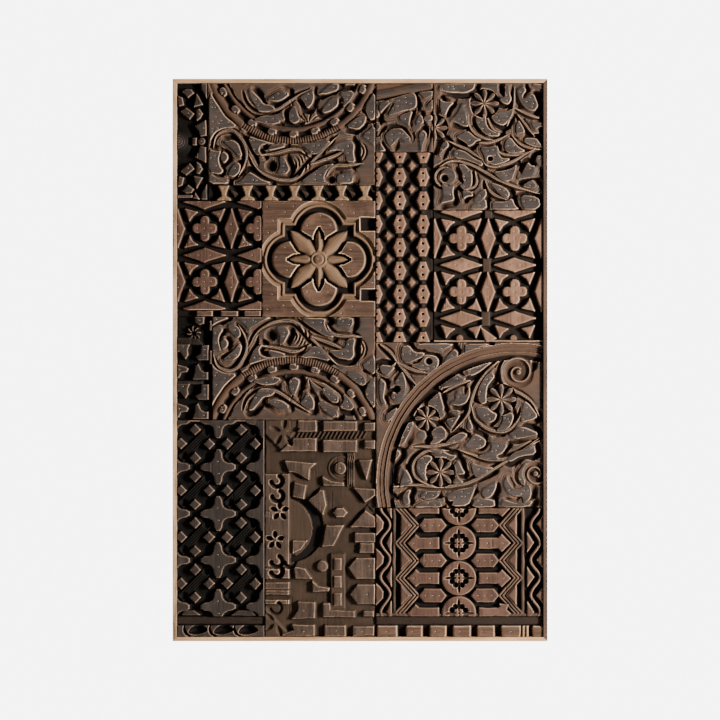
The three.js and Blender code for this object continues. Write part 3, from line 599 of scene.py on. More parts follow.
left_trellis = blank_block("trellis_block_left", ground=deep)
left_centres = trellis(left_trellis, -332, 281)
tablet_strip_top = 107
left_trellis["depth"][left_trellis["z"] < tablet_strip_top] = deep
for x0, x1 in ((-348, -315), (-297, -261), (-247, -213)):
    stand(left_trellis, box_outline(x0, x1, 93, 104), 0, 2.5)
drive_nails(left_trellis, trellis_nails(left_centres))
worn(left_trellis, 11, True)
# The darker copy of the rose wood paints this block darker: painted shade for the light falling off towards
# the left.
carved_piece(left_trellis, "left_trellis_block", darker_wood)

right_trellis = blank_block("trellis_block_right", ground=deep)
right_x, right_z = 216, 260
right_centres = trellis(right_trellis, right_x, right_z)
for i in range(trellis_count):
    stand(right_trellis, upright_lens(387.5, right_z - i * trellis_pitch), 0, 4.5)
    stand_all(right_trellis, spandrels(right_x + i * trellis_pitch, 32)[:2], 0, 4)
stand(right_trellis, [(258, 70), (290, 46), (270, 36)], 0, 4)
for x0, x1, z0, z1 in ((266, 282, 303, 321), (262, 279, 188, 217), (259, 277, 73, 103)):
    stand(right_trellis, box_outline(x0, x1, z0, z1), 6, 3)
button(right_trellis, 212, 46, 8, 4)
button(right_trellis, 327, 46, 8, 4)
stand(right_trellis, box_outline(156, 391, 36, 42), 2, 2)
drive_nails(right_trellis, trellis_nails(right_centres))
worn(right_trellis, 12, True)
carved_piece(right_trellis, "right_trellis_block", rose_wood)


# Honeycomb block: a tall block of the same dense wood, with rows of six-sided pegs left standing,
# low saddles between them and small pointed lozenges in the gaps. Each peg was pinned with two short
# wires, and the holes are still there.
honey_pitch = 50
honey_top = 390.5
hexagon = [(-6, -18), (6, -18), (13, 0), (6, 18), (-6, 18), (-13, 0)]
lozenge = [(-5, 0), (0, -6), (6, 0), (0, 6)]
honeycomb = blank_block("honeycomb_block", ground=deep)
honey_holes = []
for x in (34, 84, 134):
    for row in range(-1, 8):
        z = honey_top - row * honey_pitch
        stand(honeycomb, moved(hexagon, x, z), 0, 5.5)
        honey_holes += [(x, z + 8), (x, z - 8)]
        stand(honeycomb, box_outline(x - 3, x + 3, z + 18, z + 32), 7.5, 4)
for x in (59, 109):
    for row in range(8):
        stand(honeycomb, moved(lozenge, x, honey_top + honey_pitch / 2 - row * honey_pitch), 0.5, 10)
for x, z in honey_holes:
    hole(honeycomb, x, z, 3.0, 8, 3)
worn(honeycomb, 13, True)
carved_piece(honeycomb, "honeycomb_peg_block", rose_wood)


# Hourglass rail: a narrow rail of bare light wood, cut with deep eye-shaped scoops so that waisted
# islands are left between them.
tan_wood = old_wood("tan_wood", (0.20, 0.12, 0.07), (0.50, 0.34, 0.21), (0.05, 0.03, 0.02),
                    (0.010, 0.007, 0.005), True, 0.3)


def along_cut(block, line, width, taper):
    """The part of a block round a line, each point's distance from it in half widths, and those."""
    part, x, z = around(block, line, width / 2 + 2)
    distance, along = along_line(x, z, line)
    half = np.maximum(width / 2 * taper(along), 0.05)
    return part, distance / half, half


def rib(block, line, width, top, taper=leaf_taper, round_by=2.0):
    """A raised rib along a line, round on top, rising from whatever lies deeper."""
    part, off, _ = along_cut(block, line, width, taper)
    rise = top + (deep + 1 - top) * np.clip(off, 0, 1.3) ** round_by
    block["depth"][part] = np.where(off < 1, np.minimum(block["depth"][part], rise), block["depth"][part])


hourglass_pitch = 50.3
waisted = [(-17, 339), (16, 339), (13, 345), (4, 350), (5, 358), (12, 374), (-13, 374), (-6, 358), (-5, 350),
           (-13, 345)]
hourglass_rail = blank_block("hourglass_rail", ground=deep)
for i in range(8):
    x = -291 + i * hourglass_pitch
    stand(hourglass_rail, moved(waisted, x, 0))
    for k in range(4):
        rib(hourglass_rail, bowed(x + 10 + 4 * k, 366 - 2 * k, x + 24 + 2 * k, 346 + 2 * k, 0.1), 5, 6)
    drive_nails(hourglass_rail, [(x - 1, 366), (x + 1, 344)])
worn(hourglass_rail, 14, False, 4)
carved_piece(hourglass_rail, "hourglass_scoop_rail", tan_wood)


# Boss block: a narrow block of dark smoked wood. Its left edge keeps half of a turned boss, and small
# flat islands stand above and below it, alike on both sides.
dark_wood = old_wood("dark_wood", (0.038, 0.030, 0.026), (0.36, 0.23, 0.16), (0.014, 0.009, 0.007),
                     (0.0025, 0.002, 0.0015), True, 0.4)
boss_height = 467
boss_block = blank_block("boss_block", ground=deep)
boss_islands = [
    [(-352, 500), (-345, 490), (-341, 478), (-329, 480), (-329, 512)],
    [(-382, 531), (-364, 514), (-354, 526), (-371, 539)],
    [(-349, 511), (-341, 516), (-336, 526), (-343, 536), (-349, 535)],
    [(-378, 573), (-367, 560), (-355, 570), (-360, 577), (-372, 578)],
    [(-355, 541), (-336, 545), (-349, 568)],
    [(-386, 542), (-376, 545), (-380, 560), (-388, 563)],
    [(-338, 578), (-327, 558), (-324, 591), (-338, 591)],
]
boss_islands += [[(x, 2 * boss_height - z) for x, z in outline] for outline in boss_islands]
stand_all(boss_block, boss_islands, 0, 3)
stand(boss_block, box_outline(-357, -349, boss_height - 7.5, boss_height + 7.5), 0, 3)
stand(boss_block, box_outline(-395, -358, 347, 352), 0, 2)
stand(boss_block, [(-356, 346), (-343, 343), (-352, 357)], 0, 3)
away = np.hypot(boss_block["x"] + 388, boss_block["z"] - boss_height)
boss_dome = 1.5 + 13 * np.clip(away / 31, 0, 2) ** 2.2 + 0.8 * np.cos(away * 2 * np.pi / 5.2)
boss_block["depth"] = np.minimum(boss_block["depth"], boss_dome)
button(boss_block, -338, boss_height, 7.5, 1)
drive_nails(boss_block, [(-338, boss_height), (-366, 527), (-366, 410), (-342, 525), (-341, 411),
                         (-333, 495)])
worn(boss_block, 15, True, 4)
carved_piece(boss_block, "turned_boss_block", dark_wood)


# Flower block: the largest motif, an open-grained brown block with a four-lobed moulding sunk in two
# steps and flat discs left in its lobes. Over them stands a flower of eight petals, four long and four
# short by turns, round a small ringed boss.
brown_wood = old_wood("brown_wood", (0.110, 0.063, 0.043), (0.78, 0.55, 0.36), (0.17, 0.104, 0.062),
                      (0.008, 0.005, 0.004), False, 0.6, 0.85)
flower_x, flower_z = -88, 215
lobe_reach, lobe_radius = 60, 65
disc_reach, disc_radius = 61, 37.5
flower_block = blank_block("flower_block", step=1.3)
fx, fz = wandering(flower_block["x"] - flower_x, flower_block["z"] - flower_z)
lobed = np.maximum(abs(fx), abs(fz)) - 87
for a, b in four_ways:
    lobed = np.minimum(lobed, np.hypot(fx - lobe_reach * a, fz - lobe_reach * b) - lobe_radius)
flower_depth = np.interp(-lobed, [0, 0.8, 4, 8, 9.5, 13, 14.5, 22], [0, 5, 7.5, 9, 4.5, 6, 13.5, deep + 2])
for a, b in four_ways:
    disc = np.hypot(fx - disc_reach * a, fz - disc_reach * b) - disc_radius
    flower_depth = np.minimum(flower_depth, flank_depth(disc, 0.4, 4.0))


def heading(degrees):
    """How far across and how far up a step in a direction goes."""
    return math.cos(math.radians(degrees)), math.sin(math.radians(degrees))


def petal_shares(angle, length, half_width, widest):
    """How far along and across a petal each point is, in shares of its length and half width."""
    c, s = heading(angle)
    t = (fx * c + fz * s) / length
    width = half_width * np.interp(t, [0, 0.2, widest, 0.82, 0.95, 1], [0.35, 0.6, 1, 0.66, 0.25, 0.02])
    return t, (fz * c - fx * s) / np.maximum(width, 0.05), width


long_petals = {"angles": (45, 135, 225, 315), "length": 86, "half_width": 18, "widest": 0.52,
               "margin": 3.5, "height": 11.5, "crown": 0.45, "fall_from": 1.25, "fall": 0.35, "vein": 1.6}
short_petals = {"angles": (0, 90, 180, 270), "length": 64, "half_width": 11, "widest": 0.45,
                "margin": 3, "height": 12.5, "crown": 0.6, "fall_from": 1.2, "fall": 0.3, "vein": 0}
for petal in (long_petals, short_petals):
    for angle in petal["angles"]:
        t, sideways, width = petal_shares(angle, petal["length"] + 2, petal["half_width"], petal["widest"])
        moat = (abs(sideways) * width < width + petal["margin"]) & (t > 0.1) & (t < 1.04)
        flower_depth = np.where(moat, np.maximum(flower_depth, deep + 2), flower_depth)
for petal in (long_petals, short_petals):
    for angle in petal["angles"]:
        t, sideways, width = petal_shares(angle, petal["length"], petal["half_width"], petal["widest"])
        swell = petal["height"] * np.clip(1 - abs(sideways), 0, 1) ** petal["crown"]
        swell = swell * np.clip(petal["fall_from"] - t, 0, 1) ** petal["fall"]
        vein = petal["vein"] * np.exp(-((abs(sideways * width) - 1.6) / 0.9) ** 2)
        on_petal = (abs(sideways) < 1) & (t > 0) & (t < 1)
        flower_depth = np.where(on_petal, np.minimum(flower_depth, deep - swell + vein), flower_depth)
from_middle = np.hypot(fx, fz)
boss_ring = 3 + 9 * np.clip(abs(from_middle - 14.5) / 6, 0, 2) ** 2
flower_depth = np.where(from_middle < 20.5, np.minimum(np.maximum(flower_depth, 5), boss_ring), flower_depth)
flower_depth = np.minimum(flower_depth, flank_depth(from_middle - 9.3, 1.2, 3))
flower_block["depth"] = flower_depth


def sink(block, outline, depth, flank):
    """Cuts an outline down to a depth, with sloping sides."""
    part, x, z = around(block, outline, 2)
    cut_down = np.clip(-outline_distance(x, z, outline) * depth / flank, 0, depth)
    block["depth"][part] = np.maximum(block["depth"][part], cut_down)


for z0, z1 in ((275, 305), (125, 152)):
    sink(flower_block, box_outline(0, 36, z0, z1), deep, 2.5)
drive_nails(flower_block, [
    (-198, 327), (-160, 316), (-142, 328), (-185, 297), (-196, 272), (-37, 331), (-12, 314), (8, 291),
    (27, 268), (-187, 140), (-163, 117), (-197, 108), (-143, 103), (8, 138), (-16, 114), (-40, 100),
    (27, 165), (-84, 308), (-112, 287), (-62, 287), (-178, 220), (-155, 192), (-160, 240), (-20, 236),
    (-22, 190), (-15, 212), (-112, 145), (-68, 145), (-87, 125), (-88, 215)])
worn(flower_block, 16, False, 18, 0.25)
carved_piece(flower_block, "four_lobed_flower_block", brown_wood)


# Rosette block: bays of four-sided islands with round bites out of them, one bay above the other,
# under a small turning rosette. It is of the same dark wood as the boss block.
rosette_block = blank_block("rosette_block", ground=deep)
rosette_bay = [
    [(-394, 17), (-384, 18), (-379, 12), (-373, 3), (-367, 12), (-368, 22), (-364, 33), (-394, 33)],
    [(-350, 7), (-345, 0), (-324, 0), (-324, 31), (-338, 31), (-340, 14)],
    [(-394, -38), (-387, -38), (-382, -27), (-370, -25), (-367, -19), (-372, -15), (-394, -8)],
    [(-357, -41), (-325, -41), (-325, -27), (-333, -27), (-340, -22), (-346, -9), (-352, -12), (-352, -26)],
]
bay_height = 84
for outline in rosette_bay:
    stand_all(rosette_block, [outline, moved(outline, 0, -bay_height)], 0, 3)
stand(rosette_block, [(-350, 80), (-342, 75), (-333, 78), (-333, 92.5), (-352, 92.5)], 0, 3)
stand(rosette_block, box_outline(-321, -315, 64, 84), 0, 2)
stand(rosette_block, box_outline(-321, -315, -8, 20), 0, 2)
stand(rosette_block, [(-394, 33), (-336, 33), (-345, 46), (-394, 48)], low, 3)
stand(rosette_block, box_outline(-394, -336, -51, -45), low, 3)


def spoke(x, z, angle, start, end, bend=0.0):
    """A line out from a centre, from one distance to another."""
    c, s = heading(angle)
    return bowed(x + start * c, z + start * s, x + end * c, z + end * s, bend)


for angle in range(0, 360, 45):
    rib(rosette_block, spoke(-355, 57, angle, 4, 16, 0.2), 9, 3)
drive_nails(rosette_block, [(-377, 28), (-331, 22), (-342, 85), (-331, 10), (-385, -20), (-333, -34),
                            (-377, -56), (-331, -62), (-331, -74), (-385, -104), (-333, -118)])
worn(rosette_block, 17, True, 5)
carved_piece(rosette_block, "bitten_rosette_block", dark_wood)


# Peg block: the darkest block, square pegs turned on their corners in fours with flat crosses between
# the groups, and fluted bars lying behind each group.
peg_pitch = 99.5
peg_columns = (-352, -254)
peg_top = -179
peg_reach = 30
peg_half = 11.5
cross_top = -129
bar_half_width, bar_half_length, bar_level, flute_width = 9, 46, 8.5, 4.6
peg_block = blank_block("peg_block", ground=deep)
px, pz = peg_block["x"], peg_block["z"]
for row in range(5):
    z = peg_top - row * peg_pitch
    for x in peg_columns:
        lean = ((px - x) + (pz - z)) / math.sqrt(2)
        across_bar = ((pz - z) - (px - x)) / math.sqrt(2)
        on_bar = (abs(across_bar) < bar_half_width) & (abs(lean) < bar_half_length)
        bar = bar_level + 1.3 * np.cos(across_bar * 2 * np.pi / flute_width)
        peg_block["depth"] = np.where(on_bar, np.minimum(peg_block["depth"], bar), peg_block["depth"])
square_peg = [(peg_half, 0), (0, peg_half), (-peg_half, 0), (0, -peg_half)]
for row in range(4):
    z = peg_top - row * peg_pitch
    for x in peg_columns:
        for a, b in four_ways:
            stand(peg_block, moved(square_peg, x + peg_reach * a, z + peg_reach * b), 0, 3)
cross_arm = [(20, 9), (30, 7.5), (37, 3.5), (37, -3.5), (30, -7.5), (20, -9), (13, -13)]
for row in range(5):
    z = cross_top - row * peg_pitch
    for x in (-401, -303, -206):
        stand(peg_block, four_arms(x, z, cross_arm), 0.3, 3)
        for a in (-25, 25):
            for b in (-23, 23):
                hole(peg_block, x + a, z + b, 11, deep + 1.5, 3)
stand(peg_block, box_outline(-392, -203, -131, -128), 0, 2)
stand(peg_block, box_outline(-207, -203, -548, -128), 0, 2)
stand(peg_block, [(-380, -545), (-342, -545), (-355, -535), (-376, -535)], 3, 3)
stand(peg_block, [(-275, -546), (-222, -546), (-232, -535), (-262, -536)], 3, 3)
for row in range(5):
    drive_nails(peg_block, moved([(0, 12), (2, -14)], -303, cross_top - row * peg_pitch))
worn(peg_block, 18, True, 8)
carved_piece(peg_block, "crossed_peg_block", dark_wood)


# Rails under the lower blocks: two plain planed ones, set lower than the faces, one cut with leaf
# scoops and one with flat dentils.
rail_wood = old_wood("rail_wood", (0.026, 0.017, 0.012), (0.16, 0.10, 0.07), (0.022, 0.014, 0.010),
                     (0.005, 0.0035, 0.003), False, 0.5, 0.9)


def gouge(block, line, width, depth, taper=leaf_taper, fullness=2.2):
    """A gouge cut along a line: round in section, or flat at the bottom where fullness is high."""
    part, off, half = along_cut(block, line, width, taper)
    hollow = depth * np.clip(half / (width / 2), 0, 1) ** 0.5 * (1 - np.clip(off, 0, 1) ** fullness)
    block["depth"][part] = np.maximum(block["depth"][part], hollow)


plain_left = blank_block("plain_rail_left", step=1.8, ground=middle)
worn(plain_left, 19, False, 6, 0.6)
carved_piece(plain_left, "left_plain_rail", rail_wood)
plain_right = blank_block("plain_rail_right", step=1.8, ground=5)
worn(plain_right, 20, False, 8, 0.6)
carved_piece(plain_right, "right_plain_rail", rail_wood)

leaf_rail = blank_block("leaf_rail", step=1.3)
for x in (-345, -290, -238):
    gouge(leaf_rail, bowed(x - 22, -583, x + 20, -577, 0.1), 22, deep, leaf_taper, 2.5)
    gouge(leaf_rail, bowed(x - 30, -566, x - 14, -590, -0.25), 7, middle)
    gouge(leaf_rail, bowed(x - 8, -568, x + 14, -567, 0.1), 5, 6)
worn(leaf_rail, 21, False, 3)
carved_piece(leaf_rail, "leaf_scoop_rail", dark_wood)

dentil_rail = blank_block("dentil_rail", step=1.4, ground=deep)
dentil_ends = ((38, 78), (100, 132), (150, 183), (200, 235), (252, 286), (303, 342), (347, 351),
               (355, 359), (370, 391))
stand_all(dentil_rail, [box_outline(x0, x1, -594, -569) for x0, x1 in dentil_ends], 0, 3)
drive_nails(dentil_rail, [(x, -580) for x in (57, 112, 161, 213, 262, 322)])
worn(dentil_rail, 22, False, 6)
carved_piece(dentil_rail, "flat_dentil_rail", brown_wood)


# Zigzag block: alike left and right of its middle line, which is a string of rosettes between flat
# six-sided tablets; zigzag ridges, waves and straight ridges run up both sides.
zigzag_middle = 211
zigzag = blank_block("zigzag_block", ground=deep)
tablet_rows = (-316, -391, -466, -541)


def both_sides(outline):
    return [outline, [(2 * zigzag_middle - x, z) for x, z in outline]]


def even_taper(t):
    """The width of a cut that is as wide at its ends as in its middle."""
    return np.ones_like(t)


tablet = [(126, 0), (137, -13.5), (173, -13.5), (184, 0), (173, 13.5), (137, 13.5)]
side_wedge = [(88, -19), (106, 0), (88, 22)]
for z in (-353, -428, -503):
    stand_all(zigzag, both_sides(moved(tablet, 0, z)) + both_sides(moved(side_wedge, 0, z)))
arrow = [(101, 0), (119, -18), (127, -11), (168, -11), (168, 11), (127, 11), (119, 18)]
rosette_radius = 36
for z in tablet_rows:
    stand_all(zigzag, both_sides(moved(arrow, 0, z)))
    away = np.hypot(zigzag["x"] - zigzag_middle, zigzag["z"] - z)
    zigzag["depth"] = np.minimum(zigzag["depth"], flank_depth(away - rosette_radius, 0, 4))
    for angle in range(0, 360, 90):
        gouge(zigzag, spoke(zigzag_middle, z, angle, 4, 32), 7, middle)
    for angle in (26, 64, 116, 154, 206, 244, 296, 334):
        c, s = heading(angle)
        hole(zigzag, zigzag_middle + 16 * c, z + 16 * s, 6.5, deep, 3)
    hole(zigzag, zigzag_middle, z, 3, 5)
zig = [(84 if i % 2 == 0 else 117, -316 - i * 37.4) for i in range(-1, 8)]
for line in both_sides(zig):
    for slip in (-8, 0, 8):
        rib(zigzag, [(x + slip, z) for x, z in line], 7, 2.5, even_taper, 4)
wave_heights = np.arange(-556, -300, 4)
wave_length = 74.1
for centre, phase in ((54, -352), (374, -390)):
    wave = [(centre + 10 * math.cos((z - phase) * 2 * math.pi / wave_length), z) for z in wave_heights]
    rib(zigzag, wave, 9, 1.5, even_taper, 3)
for x0, x1 in ((70, 76), (344, 351)):
    stand(zigzag, box_outline(x0, x1, -552, -310), low, 2)
edge_teeth = (
    ([(32, -25), (48, -8), (50, 5), (42, 16), (32, 24)], (-352, -426, -500)),
    ([(57, 0), (67, -22), (67, 22)], (-316, -390, -463, -537)),
    ([(357, -20), (371, 0), (357, 22)], (-390, -464, -538)),
    ([(377, 0), (393, -20), (393, 20)], (-350, -427, -503)),
)
for tooth, heights in edge_teeth:
    stand_all(zigzag, [moved(tooth, 0, z) for z in heights], 0, 3)
stand(zigzag, box_outline(30, 394, -550, -541), 3, 3)
stand(zigzag, [(297, -520), (318, -522), (310, -540), (285, -560), (272, -570), (270, -562), (295, -545),
               (300, -530)], 0, 2)
drive_nails(zigzag, [(x, z) for z in (-353, -428, -503) for x in (140, 155, 170, 252, 267, 282)]
            + [(x, z) for z in tablet_rows[1:3] for x in (115, 150, 272, 307)])
worn(zigzag, 23, True, 14)
carved_piece(zigzag, "zigzag_tablet_block", darker_wood)


# Garland blocks: a pair in dark wood with grey flats, cut from one drawing, the lower one upside down.
# Each has an arch with a rope edge and a row of small cells, a fan of leaves inside it, and scrolls
# and two fluted shells on its other side.
grey_wood = old_wood("grey_wood", (0.058, 0.046, 0.041), (0.62, 0.41, 0.27), (0.080, 0.046, 0.030),
                     (0.010, 0.006, 0.0045), False, 0.45, 0.85)


def rounded(outline):
    """Takes the corners off an outline, so that it runs smoothly."""
    cut = []
    for (ax, az), (bx, bz) in zip(outline, [*outline[1:], outline[0]]):
        cut += [(ax * 0.8 + bx * 0.2, az * 0.8 + bz * 0.2), (ax * 0.2 + bx * 0.8, az * 0.2 + bz * 0.8)]
    return cut


def from_islands(block, outlines):
    """How far each point of the block lies outside the nearest island, up to a reach."""
    reach = 30.0
    near = np.full(block["x"].shape, reach)
    for outline in outlines:
        part, x, z = around(block, outline, reach)
        near[part] = np.minimum(near[part], outline_distance(x, z, rounded(outline)))
    return near


def leave(block, near, seed):
    """Cuts a deep crescent along one side of each island; on its other side the stems run up to it."""
    half = near.copy()
    for axis in (0, 1):
        half = np.max([np.roll(half, k, axis) for k in range(-9, 10)], axis=0)
    half = np.clip(averaged(half, 5), 3, 16)
    share = np.clip(near / half, 0, 1)
    rise_z, rise_x = np.gradient(averaged(near, 2))
    side = np.arctan2(rise_z, rise_x) - 2.4 * mottle(block["x"], block["z"], 75, 75, seed + 3)
    cut = np.clip(averaged(0.35 + 1.1 * np.cos(side), 1), 0, 1)
    narrow = np.clip((8 - half) / 3, 0, 1)
    cut = np.maximum(cut, narrow)
    veined = np.clip(0.6 + mottle(block["x"], block["z"], 30, 30, seed), 0, 1)
    veined *= np.clip(near, 0, 1) * np.clip((14 - near) / 3, 0, 1)
    stem_top = 2.6 * np.clip(share * 3, 0, 1) + 1.0 * veined * (1 - np.cos(near * 2 * np.pi / 4.6))
    hollow = np.clip(half + 3, 5, 14) * np.sqrt(1 - (1 - np.clip(share * 2.2, 0, 1)) ** 2)
    stem = np.clip((share - 0.62) / 0.38, 0, 1) * (1 - narrow)
    hollow = hollow + (stem_top - hollow) * stem * stem * (3 - 2 * stem)
    block["depth"] = stem_top + (hollow - stem_top) * cut


def flowing(points):
    """A smooth line through given points."""
    for _ in range(3):
        cut = [points[0]]
        for (ax, az), (bx, bz) in zip(points, points[1:]):
            cut.append((ax * 0.75 + bx * 0.25, az * 0.75 + bz * 0.25))
            cut.append((ax * 0.25 + bx * 0.75, az * 0.25 + bz * 0.75))
        points = [*cut, points[-1]]
    return points


def turned(x, z, r0, r1, start, sweep):
    """A line round a centre, from one angle on by a sweep in degrees, between two radii."""
    line = []
    for t in np.linspace(0, 1, max(8, int(abs(sweep) / 7))):
        angle = math.radians(start + sweep * t)
        r = r0 + (r1 - r0) * t
        line.append((x + r * math.cos(angle), z + r * math.sin(angle)))
    return line


def leave_stems(block, lines, width=13):
    """Long stems and leaves: each rounded, with a deep cut beside it, wider on its left."""
    smooth = [flowing(points) for points in lines]
    for line in smooth:
        gouge(block, [(x - 4, z) for x, z in line], width + 11, deep + 1)
    for line in smooth:
        rib(block, line, width, 0.5)
        gouge(block, [(x + 1, z) for x, z in line], 2.6, 3)


def clear(block, near):
    """Keeps the islands flat, whatever was cut round them."""
    block["depth"] = np.minimum(block["depth"], np.interp(near, [-0.7, 0, 0.8, 3], [0, 0.7, 3.6, 20]))


def pin(block, outlines):
    """Pins each island with nails, spaced apart and clear of its edge and the block's."""
    spacing = 13.0
    rng = np.random.default_rng(len(outlines))
    for outline in outlines:
        xs, zs = zip(*outline)
        x, z = np.meshgrid(np.arange(min(xs), max(xs), spacing), np.arange(min(zs), max(zs), spacing))
        x, z = x + rng.uniform(0, spacing * 0.7, x.shape), z + rng.uniform(0, spacing * 0.7, z.shape)
        safe = outline_distance(x, z, outline) < -3.2
        safe &= (x > block["across"][0] + 4) & (x < block["across"][-1] - 4)
        safe &= (z > block["up"][0] + 4) & (z < block["up"][-1] - 4)
        drive_nails(block, list(zip(x[safe], z[safe])))


garland_islands = [
    [(-322, 574), (-305, 545), (-285, 517), (-262, 498), (-290, 496), (-310, 486), (-322, 466)],
    [(-322, 450), (-306, 446), (-297, 447), (-303, 430), (-300, 414), (-292, 404), (-300, 397), (-322, 402)],
    [(-292, 467), (-272, 470), (-259, 460), (-252, 440), (-256, 432), (-268, 446), (-282, 458)],
    [(-294, 446), (-284, 440), (-282, 430), (-290, 420), (-298, 432)],
    [(-262, 422), (-255, 415), (-258, 400), (-270, 391), (-282, 395), (-276, 408)],
    [(-252, 385), (-238, 402), (-226, 396), (-210, 385), (-188, 377), (-262, 377)],
    [(-322, 398), (-300, 386), (-278, 377), (-322, 377)],
    [(-241, 479), (-212, 469), (-180, 461), (-197, 463), (-212, 458), (-216, 445), (-206, 434), (-224, 440)],
    [(-196, 447), (-178, 450), (-158, 456), (-178, 460), (-192, 458)],
    [(-172, 436), (-162, 432), (-156, 420), (-150, 408), (-158, 396), (-178, 398), (-170, 412)],
    [(-128, 462), (-100, 462), (-62, 470), (-78, 452), (-90, 440), (-102, 440), (-112, 450)],
    [(-128, 379), (-104, 398), (-80, 414), (-54, 420), (-70, 406), (-77, 390), (-74, 379)],
    [(-50, 462), (-20, 469), (-12, 458), (-14, 440), (-10, 422), (-28, 424), (-30, 440), (-45, 448),
     (-68, 446)],
    [(-50, 394), (-22, 400), (-14, 390), (-16, 377), (-48, 377)],
    [(-30, 497), (-4, 492), (10, 505), (13, 518), (4, 522), (-12, 514)],
    [(10, 540), (33, 576), (33, 516), (20, 512)],
    [(4, 480), (33, 502), (33, 458), (20, 466)],
    [(-238, 576), (-232, 560), (-222, 540), (-215, 530), (-195, 529), (-180, 535), (-190, 545), (-206, 546),
     (-218, 562), (-228, 574)],
    [(-200, 556), (-180, 552), (-165, 556), (-150, 568), (-168, 575), (-182, 568)],
    [(-232, 512), (-205, 522), (-182, 520), (-168, 508), (-192, 502)],
    [(-130, 562), (-100, 576), (-98, 560), (-102, 547), (-112, 536), (-120, 552)],
    [(-82, 534), (-62, 558), (-47, 559), (-47, 545), (-62, 532), (-78, 527)],
    [(-44, 570), (-20, 575), (-12, 568), (-22, 552), (-36, 538), (-34, 555)],
    [(-86, 568), (-60, 590), (-46, 590), (-48, 576), (-70, 568)],
    [(-141, 546), (-133, 528), (-129, 512), (-140, 505), (-151, 512), (-151, 530)],
]
garland_stems = [
    [(-314, 450), (-307, 484), (-273, 495), (-248, 467), (-239, 429), (-261, 390)],
    [(-239, 442), (-218, 403), (-175, 382), (-133, 386), (-107, 420), (-77, 450), (-43, 484)],
    [(-214, 437), (-175, 442), (-137, 454), (-103, 433)],
    [(-111, 416), (-60, 433), (-26, 450)],
    [(-73, 390), (-60, 416), (-26, 416), (8, 420)],
    [(-248, 578), (-235, 544), (-188, 527), (-145, 557), (-103, 582)],
]
cell_places = range(207, 345, 16)
garland_arch_x, garland_arch_z = -145, 648
notched = [(160, -0.05), (171, -0.05), (172, 0.02), (167, 0.03), (169, 0.06), (160, 0.05)]
for cell in cell_places:
    corners = [(r, math.radians(cell) + a) for r, a in notched]
    garland_islands.append([(garland_arch_x + r * math.cos(a), garland_arch_z + r * math.sin(a))
                            for r, a in corners])
rope_middle, rope_half = 179.5, 7.5
ridge_middle, ridge_half = 155, 5
cell_radius = 166
flip_sum = 468


def garland(block, flipped):
    """Carves the garland; flipped, each height is the flip sum less the height in the drawing."""
    def up(z):
        return flip_sum - z if flipped else z

    hand = -1 if flipped else 1
    outlines = [[(x, up(z)) for x, z in outline] for outline in garland_islands]
    near = from_islands(block, outlines)
    leave(block, near, 31)
    leave_stems(block, [[(x, up(z)) for x, z in line] for line in garland_stems])
    x, z = wandering(block["x"], block["z"])
    out = np.hypot(x - garland_arch_x, up(z) - garland_arch_z)
    turn = np.degrees(np.arctan2(up(z) - garland_arch_z, x - garland_arch_x)) % 360
    ticks = np.where((turn > 234) & (turn < 303), 1.5 * (1 + np.cos(turn * 2 * np.pi / 1.75)), 0)
    rope = 4 + 3 * ((out - rope_middle) / rope_half) ** 2 + ticks
    inner_ridge = 3.5 + 5 * ((out - ridge_middle) / ridge_half) ** 2
    depth = np.where((out > 172) & (out < 187), rope, block["depth"])
    depth = np.where((out > 160) & (out < 172), np.maximum(depth, 8), depth)
    depth = np.where((out > 150) & (out < 160), inner_ridge, depth)
    block["depth"] = np.where((out > 147) & (out < 150), deep - 2, depth)
    for cell in cell_places:
        pit = [(garland_arch_x + cell_radius * c, up(garland_arch_z + cell_radius * s))
               for c, s in (heading(cell - 11), heading(cell - 7.5), heading(cell - 4))]
        gouge(block, pit, 14, deep + 1, even_taper, 3)
    for shell_x, shell_z, radii in ((-152, 416, (16, 23, 30, 37, 44)), (-12, 445, (12, 19, 26))):
        for r in radii:
            flute = turned(shell_x, shell_z, r, r, -62, 124)
            gouge(block, [(a, up(b)) for a, b in flute], 5.5, middle)
    for tip_x, tip_z in ((-150, 560), (-128, 566), (-84, 560), (-46, 540), (-60, 515)):
        gouge(block, bowed(-110, up(505), tip_x, up(tip_z), 0.08 * hand), 6, middle)
    for eye_x, eye_z, r in ((-190, 415, 15), (-202, 455, 8), (-62, 385, 10)):
        hole(block, eye_x, up(eye_z), r, deep + 1)
    gouge(block, bowed(-258, up(488), -216, up(414), 0.08 * hand), 17, deep + 1)
    gouge(block, bowed(-58, up(420), -138, up(377), -0.06 * hand), 12, deep + 1)
    clear(block, near)
    pin(block, outlines)


upper_garland = blank_block("garland_block_upper")
garland(upper_garland, False)
worn(upper_garland, 24, False, 14)
carved_piece(upper_garland, "upper_garland_block", grey_wood)
lower_garland = blank_block("garland_block_lower")
garland(lower_garland, True)
worn(lower_garland, 25, False, 14)
carved_piece(lower_garland, "lower_garland_block", grey_wood)


